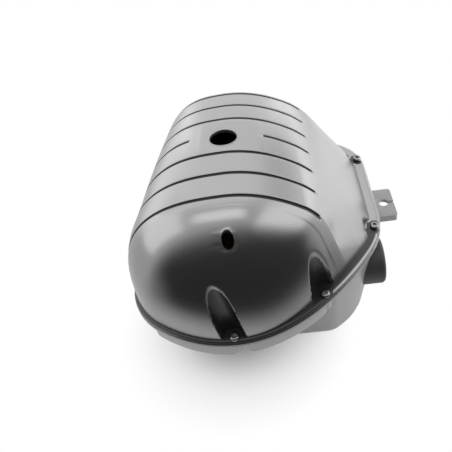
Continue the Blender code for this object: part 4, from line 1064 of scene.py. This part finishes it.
corners = [(x * FLOOR_SIZE, y * FLOOR_SIZE, FLOOR_Z) for x, y in ((-1, -1), (1, -1), (1, 1), (-1, 1))]
floor = point_object("floor", corners, [(0, 1, 2, 3)])
paper = bpy.data.materials.new("floor_paper")
paper.use_nodes = True
t = paper.node_tree
sheet = t.nodes["Principled BSDF"]
set_inputs(sheet, {"Base Color": (PAPER, PAPER, PAPER, 1), "Roughness": 0.9, "Specular IOR Level": 0})
glow = add_node(t, "Emission")
where = add_node(t, "TexCoord")
away = add_node(t, "VectorMath")
away.operation = "DISTANCE"
away.inputs[1].default_value = WHITE_CENTRE
t.links.new(where.outputs["Object"], away.inputs[0])
fade = add_node(t, "MapRange", {"From Min": WHITE_FROM, "From Max": WHITE_TO})
t.links.new(away.outputs["Value"], fade.inputs["Value"])
blend = add_node(t, "MixShader")
t.links.new(math_node(t, "MULTIPLY", fade.outputs["Result"], seen_by_eye(t)), blend.inputs["Fac"])
t.links.new(sheet.outputs[0], blend.inputs[1])
t.links.new(glow.outputs[0], blend.inputs[2])
t.links.new(blend.outputs[0], t.nodes["Material Output"].inputs["Surface"])
floor.data.materials.append(paper)
print("floor:", 2 * FLOOR_SIZE, "m wide")

# %% [markdown]
# ## World
# The room is white where the camera or a mirror sees it, and dimmer as a light, so the colours of the
# plastics come out about as they are written.

# %% World
ROOM_LIGHT = 0.45
world = bpy.data.worlds.new("studio")
scene.world = world
world.use_nodes = True
t = world.node_tree
sky = t.nodes["Background"]
sky.inputs["Color"].default_value = (1, 1, 1, 1)
t.links.new(math_node(t, "MULTIPLY_ADD", seen_by_eye(t), 1 - ROOM_LIGHT, ROOM_LIGHT), sky.inputs["Strength"])
scene.view_settings.view_transform = "Standard"
print("room light:", ROOM_LIGHT)

# %% [markdown]
# ## Lamps
# A product picture of black plastic lives on large soft sheets. The edge of the one above and behind draws
# the highlight on the dome's shoulder. Others stand at the sides and behind, and one lies on the floor,
# where the flank mirrors it.

# %% Lamps
def softbox(name, at, to, size, power):
    lamp = bpy.data.lights.new(name, "AREA")
    lamp.shape = "RECTANGLE"
    lamp.size, lamp.size_y = size
    lamp.energy = power
    ob = add_object(name, lamp)
    ob.location = at
    ob.rotation_euler = (Vector(to) - Vector(at)).to_track_quat("-Z", "Y").to_euler()
    ob.visible_camera = False
    print(name, power, "W")


softbox("sky_sheet", (0, 0.85, 1.15), (0, 0, 0.1), (1.5, 1.1), 3.7)
softbox("top_sheet", (0, -0.22, 1.3), (0, -0.08, 0.1), (0.9, 0.45), 1.7)
softbox("right_sheet", (1.0, -0.2, 0.6), (0.15, 0, 0), (1.4, 1.0), 5)
softbox("left_sheet", (-0.95, 0.0, 0.7), (-0.2, 0, 0), (1.1, 1.1), 4.2)
softbox("back_left", (-0.85, 0.95, 0.4), (0, 0, 0.1), (1.0, 0.8), 3)
softbox("back_right", (0.95, 0.85, 0.14), (0, 0, 0.1), (1.6, 0.26), 3.2)
softbox("back_sheet", (0, 1.2, 0.35), (0, 0, 0.1), (1.2, 0.5), 1.5)
softbox("low_right", (0.36, 0.22, 0.002), (0.36, 0.22, 1), (0.4, 0.5), 0.6)

# %% [markdown]
# ## Dark card
# The polished front of the dome mirrors what stands behind the camera. A dark card there, with a soft
# border, makes the front read black while its edges stay pale. Only mirrors see it.

# %% Dark card
CARD_RADIUS, CARD_TOP, CARD_CLOSER = 0.42, 0.57, 0.065
CARD_LEFT, CARD_MIDDLE, CARD_RIGHT = -72, 4, 77
ARCH_LEFT, ARCH_RIGHT, ARCH_LOW = 67, 70, 0.01
turns = np.linspace(CARD_LEFT, CARD_RIGHT, 45)
# an arch: high in the middle, down to the floor at both ends, and closer to the case on the right
aside = (turns - CARD_MIDDLE) / np.where(turns < CARD_MIDDLE, ARCH_LEFT, ARCH_RIGHT)
crest = np.maximum(CARD_TOP * (1 - np.abs(aside) ** np.where(aside < 0, 2, 2.6)), ARCH_LOW)
closer = CARD_CLOSER * smooth((turns + 20) / 52)
ends = smooth((turns - CARD_LEFT) / 32) * smooth((CARD_RIGHT - turns) / 16)
# radius, share of the arch, cover: first along the floor, then up the arch
rows = [(0.21, 0, 0), (0.257, 0, 0.5), (0.287, 0, 0.85), (0.33, 0, 1)]
arch = [(0, 1), (0.5, 1), (0.7, 0.9), (1, 0.5), (1.25, 0.12), (1.5, 0)]
rows += [(CARD_RADIUS, *step) for step in arch]
angle = np.radians(turns)
spots, cover_values = [], []
for radius, share, cover_share in rows:
    near = radius - (closer if radius < CARD_RADIUS else 0)
    spots += list(zip(near * np.sin(angle), -near * np.cos(angle), 0.001 + share * crest))
    cover_values += list(cover_share * ends)
card = point_object("dark_card", spots, grid_faces(len(rows), len(turns)))
cover_layer = card.data.attributes.new("card_cover", "FLOAT", "POINT")
cover_layer.data.foreach_set("value", np.array(cover_values, np.float32))
cloth = material("card_cloth", (0.015, 0.015, 0.015), (0.02, 0.02, 0.02), 0.9)
t = cloth.node_tree
soft_edge = add_node(t, "Attribute")
soft_edge.attribute_name = "card_cover"
t.links.new(soft_edge.outputs["Fac"], t.nodes["Principled BSDF"].inputs["Alpha"])
card.data.materials.append(cloth)
card.visible_camera = card.visible_diffuse = card.visible_shadow = False
print("card rows:", len(rows))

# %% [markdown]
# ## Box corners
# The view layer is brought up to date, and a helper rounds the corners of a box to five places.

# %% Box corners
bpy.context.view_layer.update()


def plain(box):
    return [[round(float(c), 5) for c in corner] for corner in box]
